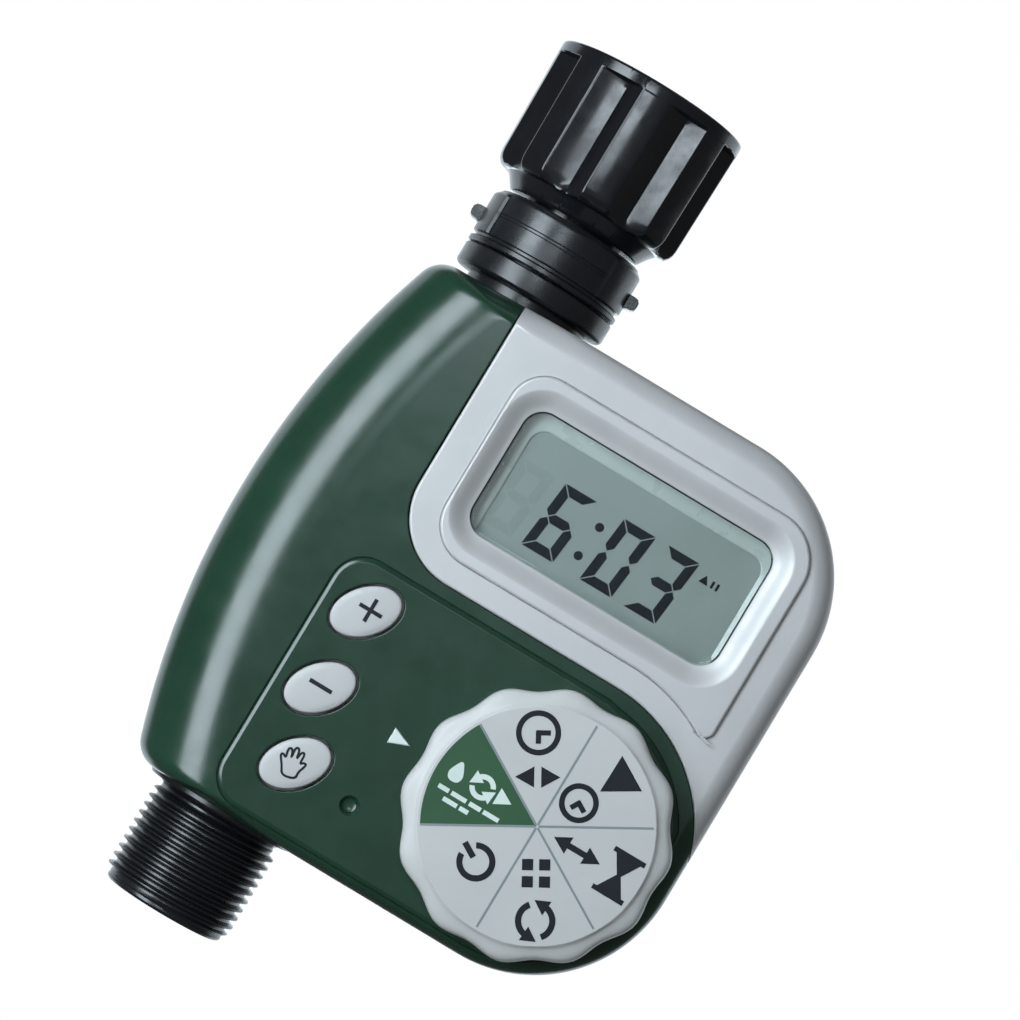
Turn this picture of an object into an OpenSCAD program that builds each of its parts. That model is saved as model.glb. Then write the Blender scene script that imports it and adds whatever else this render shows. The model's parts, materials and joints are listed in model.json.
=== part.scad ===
// Tap watering timer with one inlet, one outlet, a digital clock and a six-position dial.
// The water runs down the Z axis. The origin is the centre of the inlet washer's top face.
// The front faces -Y, +X is to the right seen from the front, and the inlet is at the top.

/* [Housing] */
// Height of the housing's top edge
housing_top = -34.2; // [-38:0.1:-33]
// Height of the housing's bottom edge
housing_bottom = -141.5; // [-143:0.1:-141]
// Right side of the housing, measured from the flow axis
housing_right = 78.1; // [77.5:0.1:80]
// Radius of the bulging left side
bulge_r = 158; // [155:1:162]
// How far the bulge stands out to the left of the flow axis
bulge_reach = 27.4; // [26:0.1:29]
// Radius of the two right-hand corners
corner_r = 27.5; // [27:0.1:28]
// Radius of the two left-hand corners
left_corner_r = 5.5; // [4.5:0.1:6.5]
// Front face of the housing
front_y = -30; // [-31:0.1:-29.5]
// Back face of the housing
back_y = 29; // [28.5:0.1:32]
// Wall thickness of the housing
wall = 2.4; // [2.2:0.1:2.6]
// Width of the soft round-over along the bulge
bulge_round_w = 16.5; // [14:0.5:17]
// Depth of the soft round-over along the bulge
bulge_round_h = 14; // [11:0.5:15]
// Radius of the round-over on the other front edges
edge_round = 4.5; // [3.5:0.1:5]
// Width of the round-over along the bottom front edge
foot_round = 2.2; // [1.5:0.1:3]
// Radius of the round-over on the back edges
back_round = 5; // [4:0.1:6]

/* [Display] */
// Left edge of the display bezel
bezel_left = 0.7; // [0.5:0.1:1.5]
// Bottom edge of the display bezel
bezel_bottom = -85.3; // [-85.6:0.1:-85]
// Radius of the bezel's lower left corner
bezel_corner = 13.6; // [12:0.1:15]
// How far the bezel's skirt wraps back round the side walls
bezel_skirt = 16; // [14:0.5:18]
// Width of the window
window_w = 52.4; // [52:0.1:53]
// Height of the window
window_h = 26; // [25.5:0.1:26.2]
// Corner radius of the window
window_r = 4.3; // [3.5:0.1:5]

/* [Controls] */
// Radius of the selector dial over its lobes
dial_r = 25.1; // [24.6:0.1:25.3]
// Depth of the dips between the lobes
dial_dip = 1.1; // [0.6:0.1:1.4]
// Number of lobes round the dial
dial_lobes = 12; // [12:6:24]
// Radius of the dial's flat face
dial_face_r = 21.3; // [20:0.1:22]
// Height of the dial
dial_h = 7; // [6.6:0.1:8]
// Long axis of an oval button
button_long = 13.4; // [12.8:0.1:13.8]
// Short axis of an oval button
button_short = 8.8; // [8.4:0.1:9]
// Tilt of the buttons' long axis
button_tilt = 47; // [40:1:50]

/* [Water fittings] */
// Thread pitch of the inlet and outlet, 14 turns to the inch
thread_pitch = 1.814; // [1.81:0.001:1.82]
// Outer radius of the outlet thread
outlet_r = 13.22; // [13.2:0.01:13.24]
// Radius at the root of the outlet thread
outlet_root_r = 12.06; // [12.04:0.01:12.1]
// Turns of thread on the outlet
outlet_turns = 10; // [8:1:10]
// Crest radius of the inlet nut's internal thread
nut_thread_r = 12.06; // [12.04:0.01:12.1]
// Outer radius at the top of the coupling nut
nut_r = 19.5; // [19:0.1:20]
// Number of grip flutes round the coupling nut
nut_flutes = 8; // [7:1:9]

/* [Power] */
// Radius of a size AA cell
cell_r = 7.05; // [7:0.05:7.1]
// Length of a size AA cell without its nub
cell_len = 48.6; // [48.2:0.1:49]

/* [Hidden] */

round_steps = 6;
lead_r = 0.55;
lead_gap = 0.25;
bulge_c = [bulge_r - bulge_reach, -88];
corner_x = housing_right - corner_r;
dial_c = [corner_x, housing_bottom + corner_r];
upper_c = [corner_x, housing_top - corner_r];
inner_y = front_y + wall;

// The raised control panel and what stands on it
panel_rise = 0.6;
panel_y = front_y - panel_rise;
panel_left = -4;
panel_top = -88;
panel_bottom = -139.2;
panel_corner = 6.3;
plus_c = [4.5, -96.9];
minus_c = [4.5, -112.9];
manual_c = [7.7, -126.9];
reset_c = [20, -128.4];
button_gap = 0.45;
button_rise = 0.8;
button_edge = 0.8;
reset_r = 1.2;

// The window and what lies behind it
window_c = [37.3, -61.7];
window_slope = 4;
frame_rise = 0.8;
frame_corners = [7, 9.3, 8];
frame_left = 6.8;
frame_right = 69.8;
frame_top = -42.8;
frame_bottom = -80.6;
lens_t = 1.2;

// The circuit board
board_y = -20.3;
board_t = 1.6;
board_outline = [
  [8, -45], [62, -45], [68, -51], [68, -123], [54, -131], [-3, -131],
  [-8.5, -126], [-8.5, -91], [-1, -84], [2, -80], [2, -51]
];
board_posts = [[-4.6, -88.2], [27.5, -91], [63.5, -94.5], [56, -126.5], [-3.6, -126.6]];
post_r = 2.4;
post_bore = 1;

// The dial's shaft, shared by the cover, the seal and the rotor
dial_gap = 0.4;
dial_back = panel_y - dial_gap;
dial_front = dial_back - dial_h;
hub_r = 5;
hub_end = -26.4;
rotor_r = 9.5;
run_gap = 0.07;
dial_depth = 5.4;

// Housing screws, kept inside the outline and clear of the battery tray
housing_bosses = [[-14.4, -44], [-18.3, -88], [-14.4, -131], [27, -136], [61.4, -131.8]];
bezel_bosses = [[64.8, -48], [27, -41.5], [71.2, -85.6]];
all_bosses = concat(housing_bosses, bezel_bosses);
bezel_back = front_y + bezel_skirt + 0.2;
boss_r = 3.3;
screw_r = 1.25;
head_bore = 3;
screw_seat = 14;

// The gasket's groove in the rear cover's rim
groove_in = 0.7;
groove_out = 1.8;
groove_h = 1.2;

// Battery tray: lowest and highest corners of the sliding body
tray_lo = [20.5, 4.5, -126.5];
tray_hi = [76.4, 22.5, -91.5];
tray_wall = 1.4;
tray_door_grow = 2;
door_t = 2.2;
tray_slip = 0.25;
cell_z = [-101, -117];
cell_y = 13.9;
cell_x = 23.4;

// Valve: the chamber's axis is +X at this height
valve_z = -72;
tube_r = 10;
land_r = 14.5;
bore_r = 7.5;
flange_r = 17;
flange_x = 20;
chamber_r = 11.5;
seat_out_r = 6;
seat_in_r = 4.5;
bonnet_screw_r = 14.6;
bonnet_screw_places = [for (a = [45:90:315]) [bonnet_screw_r * cos(a), valve_z + bonnet_screw_r * sin(a)]];
diaphragm_t = 1.6;
bonnet_top = 30.5;

// Inlet
neck_r = 12.5;
collar_in_r = 13;
tail_r = 10;
tail_bore = 7.8;
washer_t = 3;
nut_top = 14.4;
nut_foot = -15;
nut_lip = -7;
rib_share = 0.41;
flute_first = -18.5;
flute_crease = 3.1;
flute_floor_r = 16.8;
flute_top = 12;
collar_top = -15.8;
drum_r = 15.5;
ear_turn = -7;
ear_half = 41;
collar_foot = -27;
collar_r = 15.9;
outlet_flange_foot = -143;
thread_top = -145;
outlet_end = -164.2;
crest_w = 0.3;

// Points of an arc about c, from angle a0 to a1 in n steps, leaving out the first `skip` points.
function arc(c, rx, rz, a0, a1, n, skip = 0) = [
  for (i = [skip:n]) let (a = a0 + (a1 - a0) * i / n) [c[0] + rx * cos(a), c[1] + rz * sin(a)]
];

// Points inside a straight run, without its two ends.
function run(p, q, n) = [for (i = [1:n - 1]) p + (q - p) * i / n];

// The housing's outline, clockwise from the front, with its left, top, right and bottom moved inwards.
function outline(left, top, side, foot) =
  let (
    big = bulge_r - left,
    fillet = max(left_corner_r - min(top, 3), 2),
    z_top = housing_top - top,
    z_foot = housing_bottom + foot,
    reach = big - fillet,
    c_top = [bulge_c[0] - sqrt(pow(reach, 2) - pow(z_top - fillet - bulge_c[1], 2)), z_top - fillet],
    c_foot = [bulge_c[0] - sqrt(pow(reach, 2) - pow(z_foot + fillet - bulge_c[1], 2)), z_foot + fillet],
    a_top = 180 - asin((c_top[1] - bulge_c[1]) / reach),
    a_foot = 180 - asin((c_foot[1] - bulge_c[1]) / reach)
  )
  concat(
    arc(bulge_c, big, big, a_foot, a_top, 16),
    arc(c_top, fillet, fillet, a_top, 90, 4, 1),
    run([c_top[0], z_top], [upper_c[0], z_top], 6),
    arc(upper_c, corner_r - side, corner_r - top, 90, 0, 10),
    arc(dial_c, corner_r - side, corner_r - foot, 0, -90, 10),
    run([dial_c[0], z_foot], [c_foot[0], z_foot], 6),
    arc(c_foot, fillet, fillet, 270, a_foot, 4)
  );

function inset_outline(inset) = outline(inset, inset, inset, inset);

function smooth(t) = let (u = min(max(t, 0), 1)) u * u * (3 - 2 * u);

// Depth of the front round-over: deep along the bulge, shallow from the middle rightwards.
function round_depth(x) = bulge_round_h + (edge_round - bulge_round_h) * smooth((x + 15) / 27);

// Rings of the front half: the flat face first, then the round-over, then the seam.
function front_rings(inset, seam) =
  let (
    shrink = inset > 0 ? 0.82 : 1,
    rim = inset_outline(0)
  )
  concat(
    [for (k = [0:round_steps]) let (
      f = shrink * (1 - sin(90 * k / round_steps)),
      side = inset + f * edge_round,
      ring = outline(inset + f * bulge_round_w, side, side, inset + f * foot_round)
    ) [for (i = [0:len(ring) - 1]) let (
      depth = shrink * round_depth(rim[i][0]) * (1 - cos(90 * k / round_steps))
    ) [ring[i][0], front_y + inset + depth, ring[i][1]]]],
    [[for (p = inset_outline(inset)) [p[0], seam, p[1]]]]
  );

// Rings of the back half: the seam first, then the round-over, then the flat back.
function back_rings(inset, seam) =
  let (shrink = inset > 0 ? 0.7 : 1)
  concat(
    [[for (p = inset_outline(inset)) [p[0], seam, p[1]]]],
    [for (k = [round_steps - 2:-1:0]) let (
      a = 90 * k / (round_steps - 2),
      f = shrink * back_round * (1 - sin(a)),
      y = back_y - inset - shrink * back_round * (1 - cos(a))
    ) [for (p = inset_outline(inset + f)) [p[0], y, p[1]]]]
  );

// A closed skin over rings of equal length, from the front to the back.
module loft(rings) {
  n = len(rings[0]);
  m = len(rings);
  points = [for (ring = rings) each ring];
  sides = [
    for (k = [0:m - 2]) for (i = [0:n - 1]) let (j = (i + 1) % n)
      each [[k * n + i, (k + 1) * n + i, (k + 1) * n + j], [k * n + i, (k + 1) * n + j, k * n + j]]
  ];
  caps = [[for (i = [0:n - 1]) i], [for (i = [n - 1:-1:0]) (m - 1) * n + i]];
  polyhedron(points = points, faces = concat(sides, caps), convexity = 6);
}

// A flat shape drawn in X and Z, standing from y0 back to y1.
module prism(y0, y1) {
  translate([0, y1, 0]) rotate([90, 0, 0]) linear_extrude(height = y1 - y0) children();
}

// A cylinder along Y from y0 to y1, at the place p in X and Z.
module rod_y(p, r, y0, y1, r2 = -1) {
  front_r = r2 < 0 ? r : r2;
  translate([p[0], y1, p[1]]) rotate([90, 0, 0]) cylinder(r1 = r, r2 = front_r, h = y1 - y0, $fn = 48);
}

// A cylinder along X from x0 to x1, at the place p in Y and Z.
module rod_x(p, r, x0, x1) {
  translate([x0, p[0], p[1]]) rotate([0, 90, 0]) cylinder(r = r, h = x1 - x0, $fn = 48);
}

// A box between two corners.
module block(lo, hi) {
  translate(lo) cube(hi - lo);
}

function rounded_rect(w, h, r, n = 6) = concat(
  arc([-w / 2 + r, h / 2 - r], r, r, 180, 90, n),
  arc([w / 2 - r, h / 2 - r], r, r, 90, 0, n),
  arc([w / 2 - r, r - h / 2], r, r, 0, -90, n),
  arc([r - w / 2, r - h / 2], r, r, 270, 180, n)
);

function at_y(points, c, y) = [for (p = points) [p[0] + c[0], y, p[1] + c[1]]];

// A tube of radius r along a path, with its rings turned towards the point or direction `ref`.
module tube(path, r, ref, sides = 8) {
  last = len(path) - 1;
  loft([
    for (i = [0:last]) let (
      along = path[min(i + 1, last)] - path[max(i - 1, 0)],
      u = cross(along, ref) / norm(cross(along, ref)),
      v = cross(u, along) / norm(along)
    ) [for (s = [0:sides - 1]) path[i] + r * (cos(360 * s / sides) * u + sin(360 * s / sides) * v)]
  ]);
}

// Points of a helix about X from x0 to x1, with its radius going from r0 to r1.
function helix(c, x0, x1, r0, r1, turns, per_turn = 12) = [
  for (i = [0:turns * per_turn]) let (
    t = i / (turns * per_turn),
    a = 360 * i / per_turn,
    r = r0 + (r1 - r0) * t
  ) [x0 + (x1 - x0) * t, c[0] + r * cos(a), c[1] + r * sin(a)]
];

// A screw along +Y with its head's outer face at y, pointing to the front.
module screw(p, y, head_r, head_h, shank_r, shank_h) {
  difference() {
    union() {
      rod_y(p, head_r, y - head_h, y);
      rod_y(p, shank_r, y - head_h - shank_h, y - head_h);
    }
    for (a = [0, 90])
      translate([p[0], y, p[1]]) rotate([0, a, 0]) cube([head_r * 1.2, 1.6, 0.5], center = true);
  }
}

// The bezel's outline, grown to the left by `left` and downwards by `down`.
function bezel_outline(left, down) = concat(
  [[housing_right + 12, housing_top + 12], [bezel_left - left, housing_top + 12]],
  arc([bezel_left + bezel_corner, bezel_bottom + bezel_corner],
      bezel_corner + left, bezel_corner + down, 180, 270, 10),
  arc(dial_c, bezel_reach(down), bezel_reach(down), 90, 14, 12),
  [[housing_right + 12, dial_c[1] + bezel_reach(down) * sin(14)]]
);
function bezel_reach(down) = bezel_bottom - down - dial_c[1];

// The outline of the raised frame round the window, with its lower right side hollowed round the dial.
function frame_outline() =
  let (a = frame_corners[0], b = frame_corners[1], c = frame_corners[2], reach = frame_bottom - dial_c[1])
  concat(
    arc([frame_left + a, frame_top - a], a, a, 180, 90, 6),
    arc([frame_right - b, frame_top - b], b, b, 90, 0, 6),
    arc([frame_right - 2, -83.2], 2, 2, 0, -110, 5),
    arc(dial_c, reach, reach, 60, 90, 8),
    arc([frame_left + c, frame_bottom + c], c, c, 270, 180, 6)
  );

// How far the raised panel reaches from the dial's centre, kept inside the housing's flat front.
function panel_reach(a) = let (side = corner_r - edge_round - 0.2, foot = dial_c[1] - panel_bottom)
  a > 0
    ? min(bezel_reach(0) - 3.1, side / cos(a))
    : 1 / sqrt(pow(cos(a) / side, 2) + pow(sin(a) / foot, 2));

// The raised panel under the buttons and the dial.
function panel_outline() = concat(
  arc([panel_left + panel_corner, panel_top - panel_corner], panel_corner, panel_corner, 180, 90, 6),
  [[dial_c[0], panel_top]],
  [for (a = [85:-5:-90]) dial_c + panel_reach(a) * [cos(a), sin(a)]],
  arc([panel_left + panel_corner, panel_bottom + panel_corner], panel_corner, panel_corner, 270, 180, 6)
);

module oval(grow) {
  rotate(button_tilt)
    polygon(arc([0, 0], button_long / 2 + grow, button_short / 2 + grow, 0, 350, 35));
}

module oval_at(c, grow, y0, y1) {
  prism(y0, y1) translate(c) oval(grow);
}

// Openings for the water fittings, shared by both covers.
module fitting_holes() {
  translate([0, 0, housing_top - 8]) cylinder(r = neck_r + 0.1, h = 20, $fn = 72);
  translate([0, 0, housing_bottom - 8]) cylinder(r = neck_r + 0.2, h = 20, $fn = 72);
}

module front_cover() {
  color("#36564e")
  difference() {
    union() {
      difference() {
        loft(front_rings(0, 0));
        loft(front_rings(wall, 1));
        prism(front_y - 5, front_y + bezel_skirt + 0.1) polygon(bezel_outline(0.9, 0.15));
      }
      prism(panel_y, front_y + 0.5) polygon(panel_outline());
      intersection() {
        loft(front_rings(wall, 0));
        union() {
          prism(inner_y, inner_y + 1.6) difference() {
            polygon(bezel_outline(3.5, 3));
            polygon(bezel_outline(-3, -3));
          }
          for (p = housing_bosses) rod_y(p, boss_r, front_y, -0.05);
          for (p = bezel_bosses) rod_y(p, boss_r, bezel_back, -0.05);
          // webs that tie the bosses behind the bezel to the side walls
          for (i = [0, 1])
            let (p = bezel_bosses[i]) block([p[0] - 1, bezel_back, p[1]], [p[0] + 1, -0.05, p[1] + 12]);
          let (p = bezel_bosses[2]) block([p[0], bezel_back, p[1] - 1], [housing_right, -0.05, p[1] + 1]);
          for (p = board_posts) rod_y(p, post_r, front_y, board_y);
        }
      }
    }
    for (p = all_bosses) rod_y(p, screw_r + 0.05, -12, 1);
    for (p = board_posts) rod_y(p, post_bore, board_y - 5, board_y + 1);
    for (c = [plus_c, minus_c, manual_c]) oval_at(c, button_gap, panel_y - 1, inner_y + 1);
    rod_y(reset_c, reset_r + 0.15, panel_y - 1, inner_y + 1);
    rod_y(reset_c, 2, panel_y - 0.2, panel_y + 0.8, 1.4);
    rod_y(dial_c, hub_r + run_gap, panel_y - 1, inner_y + 1);
    rod_y(dial_c, hub_r + 1.75, panel_y - 1, panel_y + 1.6);
    fitting_holes();
  }
}

module rear_cover() {
  color("#2f4f46")
  difference() {
    union() {
      difference() {
        loft(back_rings(0, 0));
        loft(back_rings(wall, -1));
      }
      intersection() {
        loft(back_rings(wall, 0));
        for (p = all_bosses) rod_y(p, boss_r + 0.6, 0.05, back_y);
      }
      // rails that guide the battery tray
      for (z = [tray_lo[2] - 1.75, tray_hi[2] + 0.25])
        block([22, tray_hi[1] + 0.2, z], [66, back_y - wall + 0.5, z + 1.5]);
      block([24, tray_hi[1] + 0.2, -110.5], [66, back_y - wall + 0.5, -107.5]);
    }
    for (p = all_bosses) {
      rod_y(p, screw_r + 0.5, -1, back_y);
      rod_y(p, head_bore, screw_seat, back_y + 1);
    }
    block([68, tray_lo[1] - tray_door_grow - tray_slip, tray_lo[2] - tray_door_grow - tray_slip],
          [90, tray_hi[1] + tray_door_grow + tray_slip - 1, tray_hi[2] + tray_door_grow + tray_slip]);
    rim_band(groove_in, groove_out, -1, groove_h + 0.02);
    fitting_holes();
  }
}

// A band that follows the rims of both covers, between two insets from the outline.
module rim_band(from, to, y0, y1) {
  difference() {
    prism(y0, y1) polygon(inset_outline(from));
    prism(y0 - 1, y1 + 1) polygon(inset_outline(to));
  }
}

// Two strands of soft cord in the groove of the rear cover's rim, one on each side of the fittings.
module housing_gasket() {
  color("#26282a")
  difference() {
    rim_band(groove_in + 0.05, groove_out - 0.05, 0.02, groove_h);
    fitting_holes();
  }
}

module housing_screws() {
  color("#b9bcc0")
  for (p = all_bosses) screw(p, screw_seat + 2, head_bore - 0.2, 2, screw_r, 24);
}

// A hook behind the bezel that catches under the cover's ledge, pointing along -X.
module bezel_hook(p, turn) {
  translate([p[0], inner_y - 0.2, p[1]]) rotate([0, turn, 0]) union() {
    cube([1.4, 3.6, 4]);
    translate([-1, 1.9, 0]) cube([1.4, 1.7, 4]);
  }
}

module display_bezel() {
  color("#b9c1c7")
  difference() {
    union() {
      difference() {
        intersection() {
          loft(front_rings(0, 0));
          prism(front_y - 5, front_y + bezel_skirt) polygon(bezel_outline(0, 0));
        }
        loft(front_rings(wall, 1));
      }
      prism(front_y - frame_rise, front_y + 0.6) polygon(frame_outline());
      for (z = [-54, -68]) bezel_hook([bezel_left + 3.7, z], 0);
      bezel_hook([34, bezel_bottom + 3.7], -90);
    }
    loft([
      at_y(rounded_rect(window_w + 2 * window_slope + 0.4, window_h + 2 * window_slope + 0.4,
                        window_r + window_slope), window_c, front_y - frame_rise - 0.1),
      at_y(rounded_rect(window_w, window_h, window_r), window_c, front_y + 1.2),
      at_y(rounded_rect(window_w, window_h, window_r), window_c, inner_y + 2)
    ]);
  }
}

module display_window() {
  color("#dfe8e6", 0.5)
  union() {
    prism(front_y + 1.6, inner_y + 0.1) translate(window_c)
      polygon(rounded_rect(window_w - 0.2, window_h - 0.2, window_r - 0.1));
    prism(inner_y + 0.01, inner_y + lens_t) translate(window_c)
      polygon(rounded_rect(window_w + 3, window_h + 3, window_r));
  }
}

module lcd_panel() {
  color("#93a89c")
  block([11.9, -25.9, -74.2], [62.6, -23.5, -49.2]);
}

module lcd_holder() {
  color("#1c2022")
  difference() {
    block([9, -26.1, -76.8], [65.5, board_y - 0.02, -46.8]);
    block([11.7, -27, -74.4], [62.8, -23.4, -49]);
    block([15, -24, -74.4], [59.4, board_y + 1, -51]);
  }
}

module lcd_connector() {
  color("#b8a98c")
  block([16, -23.4, -74.2], [58.4, board_y - 0.02, -72]);
}

module circuit_board() {
  color("#1f5a36")
  difference() {
    prism(board_y, board_y + board_t) polygon(board_outline);
    for (p = board_posts) rod_y(p, 1.3, board_y - 1, board_y + 3);
    rod_y(dial_c, 3 + run_gap, board_y - 1, board_y + 3);
    rod_y(housing_bosses[0], boss_r + 0.6, board_y - 1, board_y + 3);
  }
}

module board_components() {
  back = board_y + board_t;
  color("#15171a") {
    block([28, back, -126], [38, back + 1.6, -116]);
    block([16, back, -121], [21, back + 1.5, -117]);
    rod_y([10, -103], 2.5, back, back + 8);
    rod_y([10, -111], 2.5, back, back + 8);
    block([14, board_y - 1, -91], [19, board_y, -88]);
    block([44, back, -92], [50, back + 1.2, -89]);
  }
}

module board_screws() {
  color("#c3c6ca")
  for (p = board_posts) screw(p, board_y + board_t + 1.5, 2.1, 1.5, post_bore - 0.05, 6);
}

// Small press switches on the board, one under each button.
module button_switches() {
  color("#202326")
  for (c = [plus_c, minus_c, manual_c, reset_c]) union() {
    size = c == reset_c ? 3.4 : 6;
    block([c[0] - size / 2, -23.4, c[1] - size / 2], [c[0] + size / 2, board_y, c[1] + size / 2]);
    rod_y(c, size * 0.28, -24.1, -23.3);
  }
}

// A soft sheet with one pad behind each button, which squeezes as the button goes in.
module button_mat() {
  color("#3a3d40")
  for (c = [plus_c, minus_c, manual_c]) union() {
    rod_y(c, 2.6, -25.3, -24.12);
    rod_y(c, 4.4, -24.75, -24.12);
  }
}

function oval_ring(c, grow, y) = [
  for (p = arc([0, 0], button_long / 2 + grow, button_short / 2 + grow, 350, 0, 35))
    [c[0] + p[0] * cos(button_tilt) - p[1] * sin(button_tilt), y,
     c[1] + p[0] * sin(button_tilt) + p[1] * cos(button_tilt)]
];

module oval_button(c) {
  color("#c8ccd4")
  union() {
    loft(concat(
      [for (a = [0:30:90])
        oval_ring(c, -button_edge * (1 - sin(a)), panel_y - button_rise + button_edge * (1 - cos(a)))],
      [oval_ring(c, 0, inner_y + 0.3)]
    ));
    oval_at(c, 1.1, inner_y + 0.05, inner_y + 1);
    rod_y(c, 2.4, inner_y + 0.5, -25.35);
  }
}

module plus_button() {
  oval_button(plus_c);
}

module minus_button() {
  oval_button(minus_c);
}

module manual_button() {
  oval_button(manual_c);
}

module reset_button() {
  color("#34564c")
  union() {
    rod_y(reset_c, reset_r, panel_y + 0.7, inner_y + 0.5);
    rod_y(reset_c, 2.2, inner_y + 0.05, inner_y + 0.9);
    rod_y(reset_c, 1, inner_y + 0.5, -24.7);
  }
}

function scallop(a) = dial_r - dial_dip * (1 - cos(dial_lobes * (a - 15))) / 2;

module selector_dial() {
  points = 96;
  color("#c3c9cc")
  difference() {
    union() {
      loft([
        for (s = [[dial_front, 0, -0.1], [dial_front + 0.35, 0.12, 0], [dial_front + 1.7, 0.8, 0],
                  [dial_front + 2.3, 1, 0], [dial_back - 0.5, 1, 0], [dial_back, 1, -0.4]])
          [for (i = [0:points - 1]) let (
            a = -360 * i / points,
            r = dial_face_r + (scallop(a) - dial_face_r) * s[1] + s[2]
          ) [dial_c[0] + r * cos(a), s[0], dial_c[1] + r * sin(a)]]
      ]);
      rod_y(dial_c, hub_r, dial_back - 2, hub_end);
    }
    difference() {
      rod_y(dial_c, dial_face_r, dial_back - dial_depth, dial_back + 0.2);
      rod_y(dial_c, hub_r, dial_back - dial_depth - 1, dial_back + 1);
      for (a = [0:60:300])
        translate([dial_c[0], 0, dial_c[1]]) rotate([0, a, 0])
          block([hub_r - 1, dial_back - dial_depth - 1, -0.6], [dial_face_r + 1, dial_back - 1, 0.6]);
    }
    rod_y(dial_c, 1.1, dial_back - dial_depth, hub_end + 1);
  }
}

// The rotor under the cover, with six notches in its edge for the detent.
module dial_rotor() {
  color("#24282b")
  difference() {
    union() {
      rod_y(dial_c, rotor_r, hub_end + 0.02, hub_end + 1.5);
      rod_y(dial_c, 3, hub_end + 1, board_y + board_t + 0.8);
    }
    for (a = [0:60:300])
      rod_y(dial_c + (rotor_r + 0.6) * [cos(a), sin(a)], 1.4, hub_end - 1, hub_end + 3);
    rod_y(dial_c, 1.3, hub_end - 1, board_y + board_t + 2);
    rod_y(dial_c, 2.1, board_y, board_y + board_t + 2);
  }
}

// A thin copper ring with three fingers that brush the board.
module dial_wiper() {
  ring_y = hub_end + 1.52;
  color("#b87333")
  difference() {
    union() {
      rod_y(dial_c, 7.6, ring_y, ring_y + 0.3);
      for (a = [30, 150, 270])
        translate([dial_c[0], 0, dial_c[1]]) rotate([0, -a, 0]) hull() {
          block([6, ring_y, -0.8], [7.4, ring_y + 0.3, 0.8]);
          block([8.2, board_y - 0.4, 3], [9.2, board_y - 0.1, 4.2]);
        }
    }
    rod_y(dial_c, 3.1, ring_y - 1, board_y + 1);
  }
}

module dial_screw() {
  color("#c3c6ca")
  screw(dial_c, board_y + board_t + 0.6, 2, 1.4, 1.08, 14.5);
}

module dial_seal() {
  color("#222426")
  translate([dial_c[0], panel_y + 0.82, dial_c[1]]) rotate([90, 0, 0])
    rotate_extrude($fn = 72) translate([hub_r + 0.9, 0]) circle(r = 0.78, $fn = 20);
}

// A bent leaf whose nose sits in a notch of the rotor.
module detent_spring() {
  nose = dial_c + [-(rotor_r + 0.75), 0];
  color("#cfd2d4")
  union() {
    rod_y(nose, 1.2, hub_end + 0.1, hub_end + 1.4);
    block([nose[0] - 1.4, hub_end + 0.1, nose[1] - 8], [nose[0] - 0.9, hub_end + 1.4, nose[1] + 8]);
    block([nose[0] - 3, inner_y, nose[1] - 9], [nose[0] - 0.9, hub_end + 1.4, nose[1] - 7]);
    block([nose[0] - 3, inner_y, nose[1] + 7], [nose[0] - 0.9, hub_end + 1.4, nose[1] + 9]);
  }
}

module battery_tray() {
  grow = tray_door_grow;
  door_lo = [74.4, tray_lo[1] - grow, tray_lo[2] - grow];
  door_hi = [90, tray_hi[1] + grow - 1, tray_hi[2] + grow];
  trough_end = tray_hi[0] - door_t;
  trough_r = cell_r + 0.35;
  color("#2b4a41")
  difference() {
    intersection() {
      union() {
        block(tray_lo, tray_hi);
        block(door_lo, door_hi);
        // the door's lip where it wraps the lower corner
        block([68.5, door_lo[1], door_lo[2]], [door_hi[0], door_hi[1], tray_lo[2] + 1]);
      }
      prism(-1, back_y) polygon(inset_outline(0));
    }
    // two troughs, open at the back so that the cells drop in
    for (z = cell_z) {
      rod_x([cell_y, z], trough_r, tray_lo[0] + tray_wall, trough_end);
      block([tray_lo[0] + tray_wall, cell_y, z - trough_r], [trough_end, tray_hi[1] + 1, z + trough_r]);
    }
    // a slot for the plate that joins the two cells at the door
    block([trough_end - 0.35, cell_y - 5, cell_z[1]], [trough_end, tray_hi[1] + 1, cell_z[0]]);
    // windows in the inner end for the contacts
    for (z = cell_z)
      block([tray_lo[0] - 1, cell_y - 3, z - 3], [tray_lo[0] + tray_wall + 1, cell_y + 3, z + 3]);
    // grip grooves in the door
    for (y = [9, 13, 17]) block([housing_right - 0.7, y - 0.6, -114], [housing_right + 1, y + 0.6, -100]);
  }
}

module aa_cells() {
  color("#3d4348")
  for (i = [0, 1]) {
    x = cell_x + (i == 0 ? 0 : 0.8);
    nub = i == 0 ? [x + cell_len, x + cell_len + 1.1] : [x - 1.1, x];
    union() {
      rod_x([cell_y, cell_z[i]], cell_r, x, x + cell_len);
      rod_x([cell_y, cell_z[i]], 2.7, nub[0] - 0.1, nub[1]);
    }
  }
}

module cell_springs() {
  color("#c9ccd0")
  union() {
    tube(helix([cell_y, cell_z[0]], 22.45, 23.1, 5, 3, 2), 0.28, [1, 0.01, 0.02], 6);
    tube(helix([cell_y, cell_z[1]], 73.1, 73.65, 3, 5, 2), 0.28, [1, 0.01, 0.02], 6);
  }
}

module contact_plates() {
  x0 = tray_lo[0] + tray_wall;
  x1 = tray_hi[0] - door_t;
  color("#d4d6d8") {
    block([x0 + 0.02, cell_y - 4.5, cell_z[0] - 4.5], [x0 + 0.25, cell_y + 7, cell_z[0] + 4.5]);
    block([x0 + 0.02, cell_y - 4.5, cell_z[1] - 4.5], [x0 + 0.35, cell_y + 7, cell_z[1] + 4.5]);
    block([x1 - 0.25, cell_y - 4.5, cell_z[1] - 4], [x1 - 0.02, cell_y + 7, cell_z[0] + 4]);
  }
}

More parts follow.
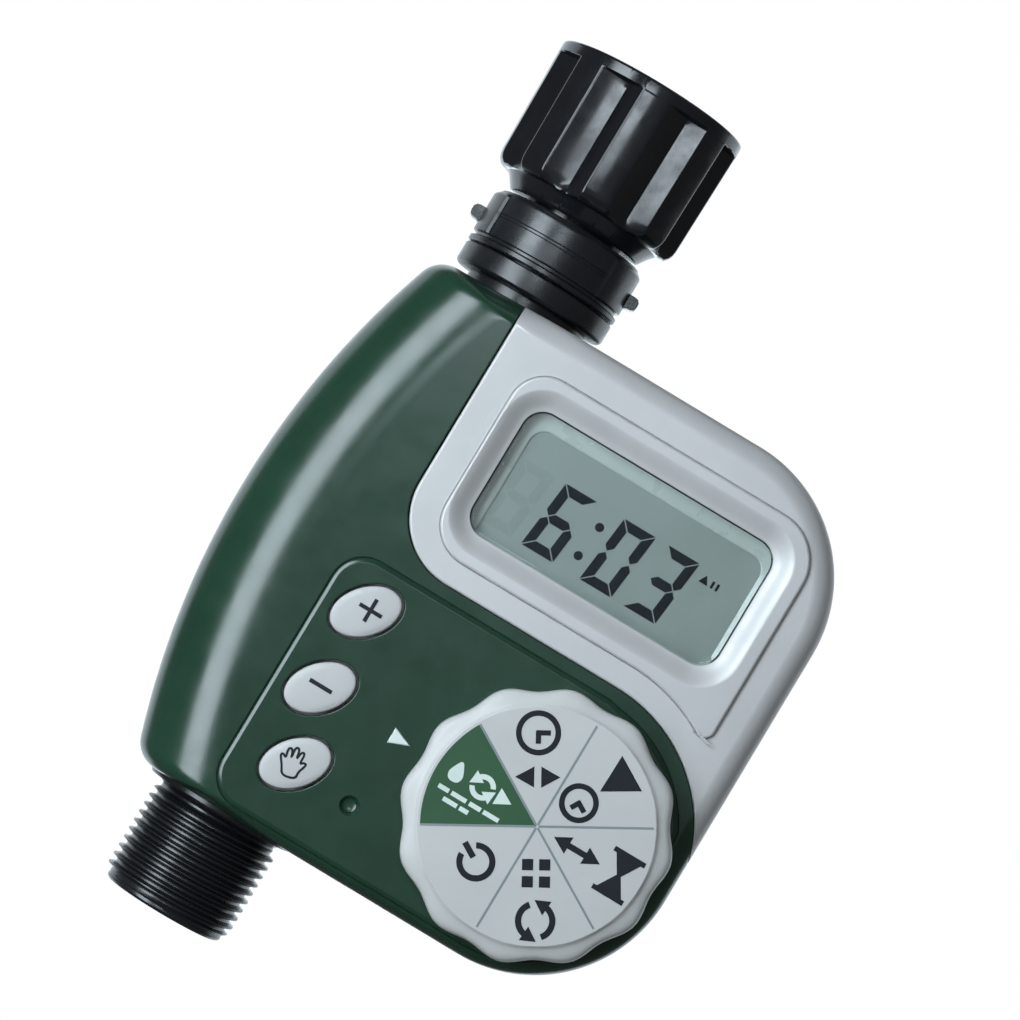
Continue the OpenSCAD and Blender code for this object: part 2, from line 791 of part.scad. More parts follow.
// A rubber band round the tray just behind its door.
module tray_seal() {
  color("#222426")
  difference() {
    block([71.2, tray_lo[1] - 0.9, tray_lo[2] + 4], [72.8, tray_hi[1] + 0.15, tray_hi[2] + 0.9]);
    block([70, tray_lo[1] - 0.02, tray_lo[2]], [74, tray_hi[1] + 0.01, tray_hi[2] + 0.02]);
  }
}

// Half profile of an outside thread made of plain rings, from the top down.
function thread_teeth(top, turns, root, crest) = [
  for (k = [0:turns - 1]) let (z = top - k * thread_pitch, flank = (thread_pitch - 2 * crest_w) / 2)
    each [[root, z], [crest, z - flank], [crest, z - flank - crest_w], [root, z - 2 * flank - crest_w]]
];

module valve_body() {
  color("#17191c")
  difference() {
    union() {
      rotate_extrude($fn = 96) polygon(concat(
        [[0, collar_top - 0.4], [collar_in_r, collar_top - 0.4], [collar_in_r, collar_foot - 0.3],
         [15.8, collar_foot - 0.3], [15.8, -31.6], [neck_r, -31.9], [neck_r, housing_top - wall],
         [land_r, housing_top - wall - 0.1], [land_r, housing_top - wall - 1.6],
         [tube_r, housing_top - wall - 1.6],
         [tube_r, housing_bottom + wall + 1.6], [land_r, housing_bottom + wall + 1.6],
         [land_r, housing_bottom + wall + 0.1], [neck_r, housing_bottom + wall],
         [neck_r, housing_bottom - 0.1], [15.3, housing_bottom - 0.1], [15.3, outlet_flange_foot],
         [outlet_root_r, thread_top + 0.5]],
        thread_teeth(thread_top, outlet_turns, outlet_root_r, outlet_r),
        [[12.2, outlet_end + 0.9], [12.2, outlet_end + 0.5], [11.7, outlet_end], [0, outlet_end]]
      ));
      rod_x([0, valve_z], flange_r, flange_x - 5, flange_x);
      rod_x([0, valve_z], chamber_r + 2.4, 0, flange_x - 4);
    }
    // inlet bore, with a wider socket for the tailpiece
    translate([0, 0, -65]) cylinder(r = bore_r, h = 60, $fn = 72);
    translate([0, 0, -25]) cylinder(r = tail_r + 0.05, h = 20, $fn = 72);
    // outlet bore, which starts at the valve seat
    translate([0, 0, outlet_end - 1]) cylinder(r = bore_r, h = valve_z - outlet_end + 1, $fn = 72);
    rod_x([0, valve_z], seat_in_r, -3, flange_x + 1);
    // ring chamber round the seat and the port that feeds it
    difference() {
      rod_x([0, valve_z], chamber_r, flange_x - 7, flange_x + 1);
      rod_x([0, valve_z], seat_out_r, flange_x - 8, flange_x + 2);
    }
    rod_x([0, valve_z + 8.8], 2.6, 0, flange_x - 6);
    for (p = bonnet_screw_places) rod_x(p, 0.95, flange_x - 4.5, flange_x + 1);
  }
}

module retaining_collar() {
  color("#191b1e")
  difference() {
    union() {
      rotate_extrude($fn = 96) polygon([
        [tail_r + 0.15, collar_top], [drum_r - 0.6, collar_top], [drum_r, collar_top - 0.5],
        [drum_r, -25.1], [drum_r - 0.2, -25.2], [drum_r - 0.2, -25.6], [collar_r, -25.8],
        [collar_r, collar_foot], [collar_in_r + 0.05, collar_foot],
        [collar_in_r + 0.05, collar_top - 0.38], [tail_r + 0.15, collar_top - 0.38]
      ]);
      for (side = [-1, 1]) {
        block([side > 0 ? 13 : -18.1, -2, -23], [side > 0 ? 18 : -13, 2, -20.3]);
        rotate([0, 0, ear_turn + 90 - 90 * side]) intersection() {
          translate([0, 0, -25]) cylinder(r = collar_r, h = 8, $fn = 96);
          translate([0, 0, -25]) linear_extrude(8) polygon([
            [0, 0], 18 * [cos(ear_half), -sin(ear_half)], [24, 0], 18 * [cos(ear_half), sin(ear_half)]
          ]);
        }
      }
    }
    translate([0, 0, collar_foot - 1])
      cylinder(r = collar_in_r + 0.05, h = collar_top - collar_foot, $fn = 96);
    translate([0, 0, collar_foot]) cylinder(r = tail_r + 0.15, h = 15, $fn = 96);
  }
}

module inlet_tailpiece() {
  color("#1b1d20")
  rotate_extrude($fn = 96) polygon([
    [tail_bore, -washer_t - 0.02], [11.9, -washer_t - 0.02], [11.9, nut_lip + 0.1], [tail_r, nut_lip + 0.1],
    [tail_r, -18.4], [tail_r - 1.2, -18.4], [tail_r - 1.2, -20.8], [tail_r, -20.8], [tail_r, -24.9],
    [tail_bore, -24.9]
  ]);
}

module tailpiece_seal() {
  color("#222426")
  translate([0, 0, -19.6]) rotate_extrude($fn = 72) translate([tail_r - 0.6, 0]) circle(r = 0.6, $fn = 20);
}

module coupling_nut() {
  pitch = 360 / nut_flutes;
  half = pitch * (1 - rib_share) / 2;
  color("#121417")
  difference() {
    rotate_extrude($fn = 120) polygon(concat(
      [[13.6, nut_top], [nut_r - 0.5, nut_top], [nut_r, nut_top - 0.5], [nut_r - 0.5, -9], [nut_r - 1, -10.8],
       [nut_r - 2, -11.8], [16, -11.8], [14, nut_foot], [tail_r + run_gap, nut_foot],
       [tail_r + run_gap, nut_lip], [13.4, nut_lip], [13.4, 0.6]],
      [for (k = [0:6]) let (z = 0.6 + k * thread_pitch, flank = (thread_pitch - 2 * crest_w) / 2)
        each [[nut_thread_r + 1.2, z], [nut_thread_r, z + flank], [nut_thread_r, z + flank + crest_w],
              [nut_thread_r + 1.2, z + 2 * flank + crest_w]]]
    ));
    // Each flute falls gently to a crease past its middle and rises steeply from it.
    for (i = [0:nut_flutes - 1])
      rotate([0, 0, flute_first - 90 + pitch * i])
        translate([0, 0, nut_foot - 1]) linear_extrude(flute_top - nut_foot + 1) polygon([
          nut_r * [cos(half), -sin(half)], flute_floor_r * [cos(flute_crease), sin(flute_crease)],
          nut_r * [cos(half), sin(half)], (nut_r + 3) * [cos(half), sin(half)],
          (nut_r + 3) * [cos(half), -sin(half)]
        ]);
  }
}

module inlet_washer() {
  color("#2a2c2e")
  rotate_extrude($fn = 96) polygon([[8.3, -washer_t], [11.9, -washer_t], [11.9, 0], [8.3, 0]]);
}

// A strainer cup that drops into the tailpiece, with its rim held inside the washer.
module filter_screen() {
  color("#8d9297")
  difference() {
    rotate_extrude($fn = 72) polygon([
      [0, -15], [2.4, -15], [6.9, -3.4], [7.6, -3], [8.2, -3], [8.2, -0.6], [7.2, -0.6],
      [7.2, -2.6], [6.3, -3.2], [1.9, -14.4], [0, -14.4]
    ]);
    for (a = [0:45:315]) rotate([0, 0, a])
      translate([2.2, -0.8, -12.4]) rotate([0, 21, 0]) cube([5, 1.6, 7.6]);
  }
}

module diaphragm() {
  color("#202224")
  rod_x([0, valve_z], 13.1, flange_x + 0.02, flange_x + diaphragm_t);
}

module diaphragm_plate() {
  base = flange_x + diaphragm_t + 0.02;
  color("#d8d9d2")
  difference() {
    union() {
      rod_x([0, valve_z], 7, base, base + 1.4);
      rod_x([0, valve_z], 2.4, base + 1, base + 3);
    }
    rod_x([0, valve_z], 0.5, base - 1, base + 4);
  }
}

module diaphragm_spring() {
  base = flange_x + diaphragm_t + 1.8;
  color("#c9ccd0")
  tube(helix([0, valve_z], base + 0.05, 28.05, 3.8, 3.8, 4), 0.35, [1, 0.01, 0.02], 6);
}

module valve_bonnet() {
  color("#1d1f22")
  difference() {
    union() {
      rod_x([0, valve_z], flange_r, flange_x, flange_x + 5);
      rod_x([0, valve_z], 12.4, flange_x + 4, bonnet_top);
      rod_x([0, valve_z], 4, bonnet_top - 1, 52.5);
    }
    rod_x([0, valve_z], 13.2, flange_x - 1, flange_x + diaphragm_t);
    rod_x([0, valve_z], 10.4, flange_x + diaphragm_t - 1, 28.5);
    rod_x([0, valve_z], 0.6, 28, 33);
    rod_x([0, valve_z], 3.05, bonnet_top + 1.5, 51.5);
    for (p = bonnet_screw_places) rod_x(p, 1.3, flange_x - 1, flange_x + 6);
  }
}

module bonnet_screws() {
  color("#c3c6ca")
  for (p = bonnet_screw_places) difference() {
    union() {
      rod_x(p, 0.95, flange_x - 4, flange_x + 5.1);
      rod_x(p, 2, flange_x + 5.02, flange_x + 6.6);
    }
    for (b = [0, 90])
      translate([flange_x + 6.6, p[0], p[1]]) rotate([b, 0, 0]) cube([1.4, 2.6, 0.5], center = true);
  }
}

module solenoid_coil() {
  color("#8a3b22")
  difference() {
    union() {
      rod_x([0, valve_z], 9, 33.5, 50);
      rod_x([0, valve_z], 10, 32.4, 33.6);
      rod_x([0, valve_z], 10, 49.9, 51.1);
    }
    rod_x([0, valve_z], 4.1, 30, 53);
  }
}

module solenoid_yoke() {
  color("#9aa0a5")
  difference() {
    block([30.7, -9, valve_z - 11.8], [52.4, 9, valve_z + 11.8]);
    block([32.2, -10, valve_z - 10.3], [51.2, 10, valve_z + 10.3]);
    rod_x([0, valve_z], 4.1, 30, 53);
  }
}

module plunger() {
  color("#aeb4b8")
  difference() {
    rod_x([0, valve_z], 3, bonnet_top + 1.6, 47);
    rod_x([0, valve_z], 1.8, 44, 48);
  }
}

module plunger_spring() {
  color("#c9ccd0")
  tube(helix([0, valve_z], 44.4, 51.1, 1.35, 1.35, 5), 0.22, [1, 0.01, 0.02], 6);
}

// The fixed holder at the tray's inner end, and the two springy contacts that it carries.
module contact_block() {
  color("#1c2022")
  block([15, cell_y - 4.5, cell_z[1] - 4.5], [tray_lo[0] - 1.2, back_y - wall, cell_z[0] + 4.5]);
}

module tray_contacts() {
  color("#d4d6d8")
  for (z = cell_z) union() {
    block([tray_lo[0] - 1.18, cell_y - 2.5, z - 2.5], [tray_lo[0] - 0.7, cell_y + 2.5, z + 2.5]);
    rod_x([cell_y, z], 1.8, tray_lo[0] - 0.8, tray_lo[0] + tray_wall - 0.02);
  }
}

// A lead wire in one bend from a to b, pulled towards the point mid.
module lead(a, mid, b, ref) {
  bend = [for (t = [0:1 / 12:1]) pow(1 - t, 2) * a + 2 * t * (1 - t) * mid + t * t * b];
  tube(bend, lead_r, ref);
}

module solenoid_leads() {
  color("#a02c2c")
  for (z = [-64, -69.5])
    lead([47, -9.4, z - 5], [53, -13, z - 0.5], [55, board_y + board_t + lead_gap, z], [0, 0, 1]);
}

module battery_leads() {
  color("#1c1c1e")
  for (z = [-104, -114])
    lead([17, cell_y - 4.55, z], [17, -6, z], [22, board_y + board_t + lead_gap, z + 1], [0, 0, 1]);
}

front_cover();
rear_cover();
housing_gasket();
housing_screws();
display_bezel();
display_window();
lcd_panel();
lcd_holder();
lcd_connector();
circuit_board();
board_components();
board_screws();
button_switches();
button_mat();
plus_button();
minus_button();
manual_button();
reset_button();
selector_dial();
dial_rotor();
dial_wiper();
dial_screw();
dial_seal();
detent_spring();
battery_tray();
aa_cells();
cell_springs();
contact_plates();
tray_seal();
contact_block();
tray_contacts();
valve_body();
retaining_collar();
inlet_tailpiece();
tailpiece_seal();
coupling_nut();
inlet_washer();
filter_screen();
diaphragm();
diaphragm_plate();
diaphragm_spring();
valve_bonnet();
bonnet_screws();
solenoid_coil();
solenoid_yoke();
plunger();
plunger_spring();
solenoid_leads();
battery_leads();
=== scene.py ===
"""The looks of a tap watering timer: detailed shells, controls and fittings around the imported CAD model.

Shapes are made in millimetres, in the CAD model's frame: the water runs down Z, the front faces -Y,
and the origin is the centre of the inlet washer's top face. Each piece is scaled to metres at the end.
"""

import json
import math

import bmesh
import bpy
from mathutils import Matrix, Vector


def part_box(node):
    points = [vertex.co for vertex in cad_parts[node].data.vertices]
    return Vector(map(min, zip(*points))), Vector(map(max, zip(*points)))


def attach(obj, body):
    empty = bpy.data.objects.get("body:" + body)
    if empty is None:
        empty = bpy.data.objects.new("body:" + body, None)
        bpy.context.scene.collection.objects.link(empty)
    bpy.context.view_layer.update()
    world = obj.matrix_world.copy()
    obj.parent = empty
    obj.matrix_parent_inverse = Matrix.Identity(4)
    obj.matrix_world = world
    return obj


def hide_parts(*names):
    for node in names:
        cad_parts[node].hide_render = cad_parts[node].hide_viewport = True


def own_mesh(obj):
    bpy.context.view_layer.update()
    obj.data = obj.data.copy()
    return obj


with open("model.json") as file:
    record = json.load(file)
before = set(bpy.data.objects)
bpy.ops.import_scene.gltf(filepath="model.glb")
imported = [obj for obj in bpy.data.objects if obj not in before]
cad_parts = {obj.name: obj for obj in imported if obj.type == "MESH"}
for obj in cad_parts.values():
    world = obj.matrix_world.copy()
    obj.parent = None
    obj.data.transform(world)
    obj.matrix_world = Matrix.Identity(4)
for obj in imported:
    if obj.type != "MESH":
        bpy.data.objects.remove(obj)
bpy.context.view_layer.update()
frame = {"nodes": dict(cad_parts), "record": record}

MM = 0.001
CREASE_ANGLE = 32

# ---------------------------------------------------------------- sizes, in millimetres
# The housing
TOP, FOOT, RIGHT = -34.2, -141.5, 78.1
BULGE_R, BULGE_REACH, BULGE_Z = 158.0, 27.4, -88.0
CORNER_R, LEFT_CORNER_R = 27.5, 5.5
FRONT_Y, BACK_Y, WALL = -30.0, 29.0, 2.4
OUTSIDE_X = 90
BULGE_W, BULGE_H = 16.5, 14.0
EDGE_ROUND, FOOT_ROUND, BACK_ROUND = 4.5, 2.2, 5.0
INNER_Y = FRONT_Y + WALL
SEAM_BEVEL = 0.3
FRONT_STEPS, BACK_STEPS, FILLET_STEPS = 18, 14, 6
BULGE_C = (BULGE_R - BULGE_REACH, BULGE_Z)
CORNER_X = RIGHT - CORNER_R
DIAL_C = (CORNER_X, FOOT + CORNER_R)
UPPER_C = (CORNER_X, TOP - CORNER_R)

# The bezel, the window and the display; PLATE_STEP keeps prints that cross out of one plane
BEZEL_LEFT, BEZEL_BOTTOM, BEZEL_CORNER, BEZEL_SKIRT = 0.7, -85.3, 13.6, 16.0
WINDOW_C, WINDOW_W, WINDOW_H, WINDOW_R = (37.3, -61.7), 52.4, 26.0, 4.3
WINDOW_SLOPE, WINDOW_DISH, FRAME_RISE = 4.0, 2.0, 0.8
WINDOW_Y, LCD_Y, DIGIT_Z = FRONT_Y + 1.6, -25.9, -65.0
FRAME_LEFT, FRAME_RIGHT, FRAME_TOP, FRAME_BOTTOM = 6.8, 69.8, -42.8, -80.6
PLATE_STEP = 0.006

# The raised panel and its buttons
PANEL_Y = FRONT_Y - 0.6
PANEL_LEFT, PANEL_TOP, PANEL_BOTTOM, PANEL_CORNER = -4.0, -88.0, -139.2, 6.3
BUTTONS = {"plus_button": (4.5, -96.9), "minus_button": (4.5, -112.9), "manual_button": (7.7, -126.9)}
BUTTON_LONG, BUTTON_SHORT, BUTTON_TILT = 13.4, 8.8, 47.0
BUTTON_GAP, BUTTON_RISE, BUTTON_CROWN, BUTTON_ROUND, BUTTON_FLANGE = 0.45, 0.8, 0.28, 0.55, 1.1
RESET_C, RESET_HOLE_R = (20.0, -128.4), 1.35

# The dial
DIAL_R, DIAL_DIP, DIAL_LOBES, DIAL_FACE_R = 25.1, 1.1, 12, 21.3
DIAL_BACK = PANEL_Y - 0.4
DIAL_FRONT = DIAL_BACK - 7.0
HUB_R, HUB_END = 5.0, -26.4
SECTOR_R, ICON_REACH, ICON_SCALE = 20.9, 12.6, 1.18

# The screws and the battery tray
HOUSING_BOSSES = ((-14.4, -44), (-18.3, -88), (-14.4, -131), (27, -136), (61.4, -131.8),
                  (64.8, -48), (27, -41.5), (71.2, -85.6))
PILLAR_R, SCREW_WELL_R, SCREW_R, SCREW_SEAT = 3.9, 3.0, 1.7, 14.0
TRAY_LO, TRAY_HI = (20.5, 4.5, -126.5), (76.4, 22.5, -91.5)
TRAY_GROW, TRAY_SLIP = 2.0, 0.25
CELL_Y, CELL_Z, TROUGH_R = 13.9, (-101, -117), 7.4

# The water's path
PITCH, THREAD_FADE = 1.814, 1.3
VALVE_Z = -72
OUTLET_R, OUTLET_ROOT_R = 13.22, 12.06
NECK_R, TUBE_R, BORE_R, SHOULDER_R = 12.5, 10.0, 7.5, 14.5
NUT_TOP, NUT_FOOT, NUT_LIP, NUT_R, NUT_BORE_R, NUT_THREAD_R = 14.4, -15.0, -7.0, 19.5, 10.07, 12.06
COLLAR_TOP, COLLAR_FOOT, COLLAR_R, EAR_R = -15.8, -27.0, 15.5, 15.95


# ---------------------------------------------------------------- outlines
def polar(c, r, a):
    """The point at radius r and angle a round c."""
    return (c[0] + r * math.cos(a), c[1] + r * math.sin(a))


def on_ring(r, a, z):
    """The point at radius r and angle a round the water's axis."""
    return (r * math.cos(a), r * math.sin(a), z)


def even_angles(n):
    return [math.tau * i / n for i in range(n)]


def quarter(steps):
    """Steps round a quarter circle: how far across and how far down, as parts of its radius."""
    angles = [math.radians(90 * k / steps) for k in range(steps + 1)]
    return [(1 - math.sin(a), 1 - math.cos(a)) for a in angles]


def arc(c, rx, rz, a0, a1, n, skip=0):
    """Points in X and Z round c, from angle a0 to a1 in n steps, without the first `skip` points."""
    angles = [math.radians(a0 + (a1 - a0) * i / n) for i in range(skip, n + 1)]
    return [(c[0] + rx * math.cos(a), c[1] + rz * math.sin(a)) for a in angles]


def run(p, q, n):
    """Points inside a straight run, without its ends."""
    return [(p[0] + (q[0] - p[0]) * i / n, p[1] + (q[1] - p[1]) * i / n) for i in range(1, n)]


def smooth(t):
    u = min(max(t, 0.0), 1.0)
    return u * u * (3 - 2 * u)


def outline(left, top, side, foot):
    """The housing's outline, clockwise from the front, with its sides moved inwards."""
    big = BULGE_R - left
    fillet = max(LEFT_CORNER_R - min(top, 3), 2)
    z_top, z_foot = TOP - top, FOOT + foot
    reach = big - fillet

    def fillet_centre(z):
        return (BULGE_C[0] - math.sqrt(reach ** 2 - (z - BULGE_C[1]) ** 2), z)

    c_top, c_foot = fillet_centre(z_top - fillet), fillet_centre(z_foot + fillet)
    a_top = 180 - math.degrees(math.asin((c_top[1] - BULGE_C[1]) / reach))
    a_foot = 180 - math.degrees(math.asin((c_foot[1] - BULGE_C[1]) / reach))
    return (
        arc(BULGE_C, big, big, a_foot, a_top, 60)
        + arc(c_top, fillet, fillet, a_top, 90, 12, 1)
        + run((c_top[0], z_top), (UPPER_C[0], z_top), 20)
        + arc(UPPER_C, CORNER_R - side, CORNER_R - top, 90, 0, 36)
        + run((RIGHT - side, UPPER_C[1]), (RIGHT - side, DIAL_C[1]), 12)
        + arc(DIAL_C, CORNER_R - side, CORNER_R - foot, 0, -90, 36)
        + run((DIAL_C[0], z_foot), (c_foot[0], z_foot), 20)
        + arc(c_foot, fillet, fillet, 270, a_foot, 12)[:-1]
    )


def inset_outline(inset):
    return outline(inset, inset, inset, inset)


def round_depth(x):
    """Depth of the front round-over: deep along the bulge, shallow from the middle rightwards."""
    return BULGE_H + (EDGE_ROUND - BULGE_H) * smooth((x + 15) / 27)


def at_y(points, y):
    return [(x, y, z) for x, z in points]


def front_rings(inset, seam):
    """Rings of the front half: the flat face, the round-over, then the seam."""
    shrink = 0.82 if inset else 1.0
    rim = inset_outline(0)
    rings = []
    for across, down in quarter(FRONT_STEPS):
        f = shrink * across
        side = inset + f * EDGE_ROUND
        ring = outline(inset + f * BULGE_W, side, side, inset + f * FOOT_ROUND)
        depth = [FRONT_Y + inset + shrink * round_depth(p[0]) * down for p in rim]
        rings.append([(p[0], y, p[1]) for p, y in zip(ring, depth)])
    if inset:
        return rings + [at_y(inset_outline(inset), seam)]
    return rings + [at_y(rim, seam - SEAM_BEVEL), at_y(inset_outline(SEAM_BEVEL), seam)]


def back_rings(inset, seam):
    """Rings of the back half: the seam, the round-over, then the flat back."""
    r = (0.7 if inset else 1.0) * BACK_ROUND
    rings = [at_y(inset_outline(inset), seam)]
    if not inset:
        rings = [at_y(inset_outline(SEAM_BEVEL), seam), at_y(inset_outline(0), seam + SEAM_BEVEL)]
    for across, down in reversed(quarter(BACK_STEPS)):
        rings.append(at_y(inset_outline(inset + r * across), BACK_Y - inset - r * down))
    return rings


def offset(points, d):
    """A closed clockwise outline moved outwards by d."""
    moved = []
    n = len(points)
    for i, p in enumerate(points):
        before = Vector(p) - Vector(points[i - 1])
        after = Vector(points[(i + 1) % n]) - Vector(p)
        n0 = Vector((-before.y, before.x)).normalized()
        n1 = Vector((-after.y, after.x)).normalized()
        mid = (n0 + n1) / max(1e-6, 1 + n0.dot(n1))
        moved.append((p[0] + mid.x * d, p[1] + mid.y * d))
    return moved


def bezel_reach(down):
    return BEZEL_BOTTOM - down - DIAL_C[1]


def bezel_outline(left, down):
    """The bezel's outline, clockwise, grown to the left by `left` and downwards by `down`."""
    reach = bezel_reach(down)
    corner = (BEZEL_LEFT + BEZEL_CORNER, BEZEL_BOTTOM + BEZEL_CORNER)
    points = [(RIGHT + 12, TOP + 12), (BEZEL_LEFT - left, TOP + 12)]
    points += arc(corner, BEZEL_CORNER + left, BEZEL_CORNER + down, 180, 270, 28)
    points += arc(DIAL_C, reach, reach, 90, 14, 40)
    points += [(RIGHT + 12, DIAL_C[1] + reach * math.sin(math.radians(14)))]
    return points[::-1]


def frame_outline():
    """The raised frame round the window, hollowed round the dial at its lower right."""
    reach = FRAME_BOTTOM - DIAL_C[1]
    return (
        arc((FRAME_LEFT + 7, FRAME_TOP - 7), 7, 7, 180, 90, 18)
        + arc((FRAME_RIGHT - 9.3, FRAME_TOP - 9.3), 9.3, 9.3, 90, 0, 22)
        + arc((FRAME_RIGHT - 2, -83.2), 2, 2, 0, -110, 14)
        + arc(DIAL_C, reach, reach, 60, 90, 24)
        + arc((FRAME_LEFT + 8, FRAME_BOTTOM + 8), 8, 8, 270, 180, 18)
    )


def panel_reach(angle):
    """How far the raised panel reaches from the dial's centre, within the housing's flat front."""
    a = math.radians(angle)
    side, foot = CORNER_R - EDGE_ROUND - 0.2, DIAL_C[1] - PANEL_BOTTOM
    if angle > 0:
        return min(bezel_reach(0) - 3.1, side / math.cos(a))
    return 1 / math.sqrt((math.cos(a) / side) ** 2 + (math.sin(a) / foot) ** 2)


def panel_outline():
    upper = (PANEL_LEFT + PANEL_CORNER, PANEL_TOP - PANEL_CORNER)
    lower = (PANEL_LEFT + PANEL_CORNER, PANEL_BOTTOM + PANEL_CORNER)
    points = arc(upper, PANEL_CORNER, PANEL_CORNER, 180, 90, 18) + [(DIAL_C[0], PANEL_TOP)]
    for angle in range(85, -91, -3):
        points.append(polar(DIAL_C, panel_reach(angle), math.radians(angle)))
    return points + arc(lower, PANEL_CORNER, PANEL_CORNER, 270, 180, 18)


def rounded_rect(c, w, h, r, n=12):
    x, z = w / 2 - r, h / 2 - r
    corners = ((-x, z, 180), (x, z, 90), (x, -z, 0), (-x, -z, -90))
    return [p for dx, dz, a in corners for p in arc((c[0] + dx, c[1] + dz), r, r, a, a - 90, n)]


def circle(c, r, n=64):
    return arc(c, r, r, 0, -360, n)[:-1]


def turned(points, c, angle):
    """Points turned by an angle about the origin and then moved to c."""
    cos, sin = math.cos(math.radians(angle)), math.sin(math.radians(angle))
    return [(c[0] + x * cos - z * sin, c[1] + x * sin + z * cos) for x, z in points]


def oval(c, grow, n=72):
    half = arc((0, 0), BUTTON_LONG / 2 + grow, BUTTON_SHORT / 2 + grow, 0, -360, n)[:-1]
    return turned(half, c, BUTTON_TILT)


# ---------------------------------------------------------------- meshes
def make(name, points, faces):
    """A new object from points in millimetres."""
    mesh = bpy.data.meshes.new(name)
    mesh.from_pydata(points, [], faces)
    obj = bpy.data.objects.new(name, mesh)
    bpy.context.scene.collection.objects.link(obj)
    return obj


def loft_faces(n, m, first=0, caps=True):
    """Faces over m rings of n points each."""
    faces = []
    for k in range(m - 1):
        here, there = first + k * n, first + (k + 1) * n
        for i in range(n):
            j = (i + 1) % n
            faces.append([there + i, there + j, here + j, here + i])
    if caps:
        faces.append([first + i for i in range(n)])
        faces.append([first + (m - 1) * n + i for i in reversed(range(n))])
    return faces


def loft(name, rings):
    """A skin over rings that run clockwise from the front, listed from the front to the back."""
    return make(name, [p for ring in rings for p in ring], loft_faces(len(rings[0]), len(rings)))


def hoop(name, rings):
    """A skin over rings, with the last one joined to the first."""
    n = len(rings[0])
    last = (len(rings) - 1) * n
    faces = loft_faces(n, len(rings), caps=False)
    faces += [[last + i, last + (i + 1) % n, (i + 1) % n, i] for i in range(n)]
    return make(name, [p for ring in rings for p in ring], faces)


def prism(name, points, y0, y1):
    return loft(name, [at_y(points, y0), at_y(points, y1)])


def rolled(points, y, fillet, way=-1):
    """Rings of an edge rounded over from a face at y; the face is smaller, or larger where way is 1."""
    steps = quarter(FILLET_STEPS)
    return [at_y(offset(points, way * fillet * across), y + fillet * down) for across, down in steps]


def raised(name, points, y_top, y_base, fillet):
    """A flat plate whose front edge is rounded over."""
    return loft(name, rolled(points, y_top, fillet) + [at_y(points, y_base)])


def flared(name, points, y_face, y_end, fillet):
    """A cutter whose mouth opens out at y_face, so that the hole's edge comes out rounded."""
    mouth = at_y(offset(points, fillet), y_face - 3)
    return loft(name, [mouth] + rolled(points, y_face, fillet, 1) + [at_y(points, y_end)])


def block(name, lo, hi):
    (x0, y0, z0), (x1, y1, z1) = lo, hi
    return loft(name, [[(x0, y, z0), (x0, y, z1), (x1, y, z1), (x1, y, z0)] for y in (y0, y1)])


def rod_y(name, c, r, y0, y1, n=48):
    return prism(name, circle(c, r, n), y0, y1)


def rod_x(name, c, r, x0, x1, n=64):
    return loft(name, [[(x, *polar(c, r, a)) for a in even_angles(n)] for x in (x0, x1)])


def rod_z(name, r, z0, z1, n=96):
    return loft(name, [[on_ring(r, a, z) for a in even_angles(n)] for z in (z0, z1)])


def tidy(obj):
    """Turns every face outwards."""
    bm = bmesh.new()
    bm.from_mesh(obj.data)
    bmesh.ops.recalc_face_normals(bm, faces=bm.faces)
    bm.to_mesh(obj.data)
    bm.free()
    return obj


def applied(obj):
    """Applies the modifiers of obj to its mesh."""
    evaluated = obj.evaluated_get(bpy.context.evaluated_depsgraph_get())
    mesh = bpy.data.meshes.new_from_object(evaluated)
    obj.modifiers.clear()
    obj.data = mesh
    return obj


def boolean(obj, others, operation="DIFFERENCE"):
    """Cuts, joins or intersects obj with the others, which are then removed."""
    tidy(obj)
    for other in others:
        tidy(other)
        modifier = obj.modifiers.new(operation, "BOOLEAN")
        modifier.operation = operation
        modifier.solver = "EXACT"
        modifier.object = other
    applied(obj)
    for other in others:
        bpy.data.objects.remove(other)
    return obj


def join(name, objects):
    """One object out of several."""
    points, faces = [], []
    for obj in objects:
        faces += [[len(points) + i for i in f.vertices] for f in obj.data.polygons]
        points += [tuple(v.co) for v in obj.data.vertices]
        bpy.data.objects.remove(obj)
    return make(name, points, faces)


def piece(obj, body, material, replaces=()):
    """Finishes a piece: metres, smooth shading with creases kept, its material and body."""
    tidy(obj)
    obj.data.transform(Matrix.Scale(MM, 4))
    obj.data.polygons.foreach_set("use_smooth", [True] * len(obj.data.polygons))
    obj.data.set_sharp_from_angle(angle=math.radians(CREASE_ANGLE))
    weighted = obj.modifiers.new("normals", "WEIGHTED_NORMAL")
    weighted.keep_sharp = True
    weighted.weight = 100
    applied(obj)
    obj.data.materials.clear()
    obj.data.materials.append(material)
    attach(obj, body)
    if replaces:
        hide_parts(*replaces)
    return obj


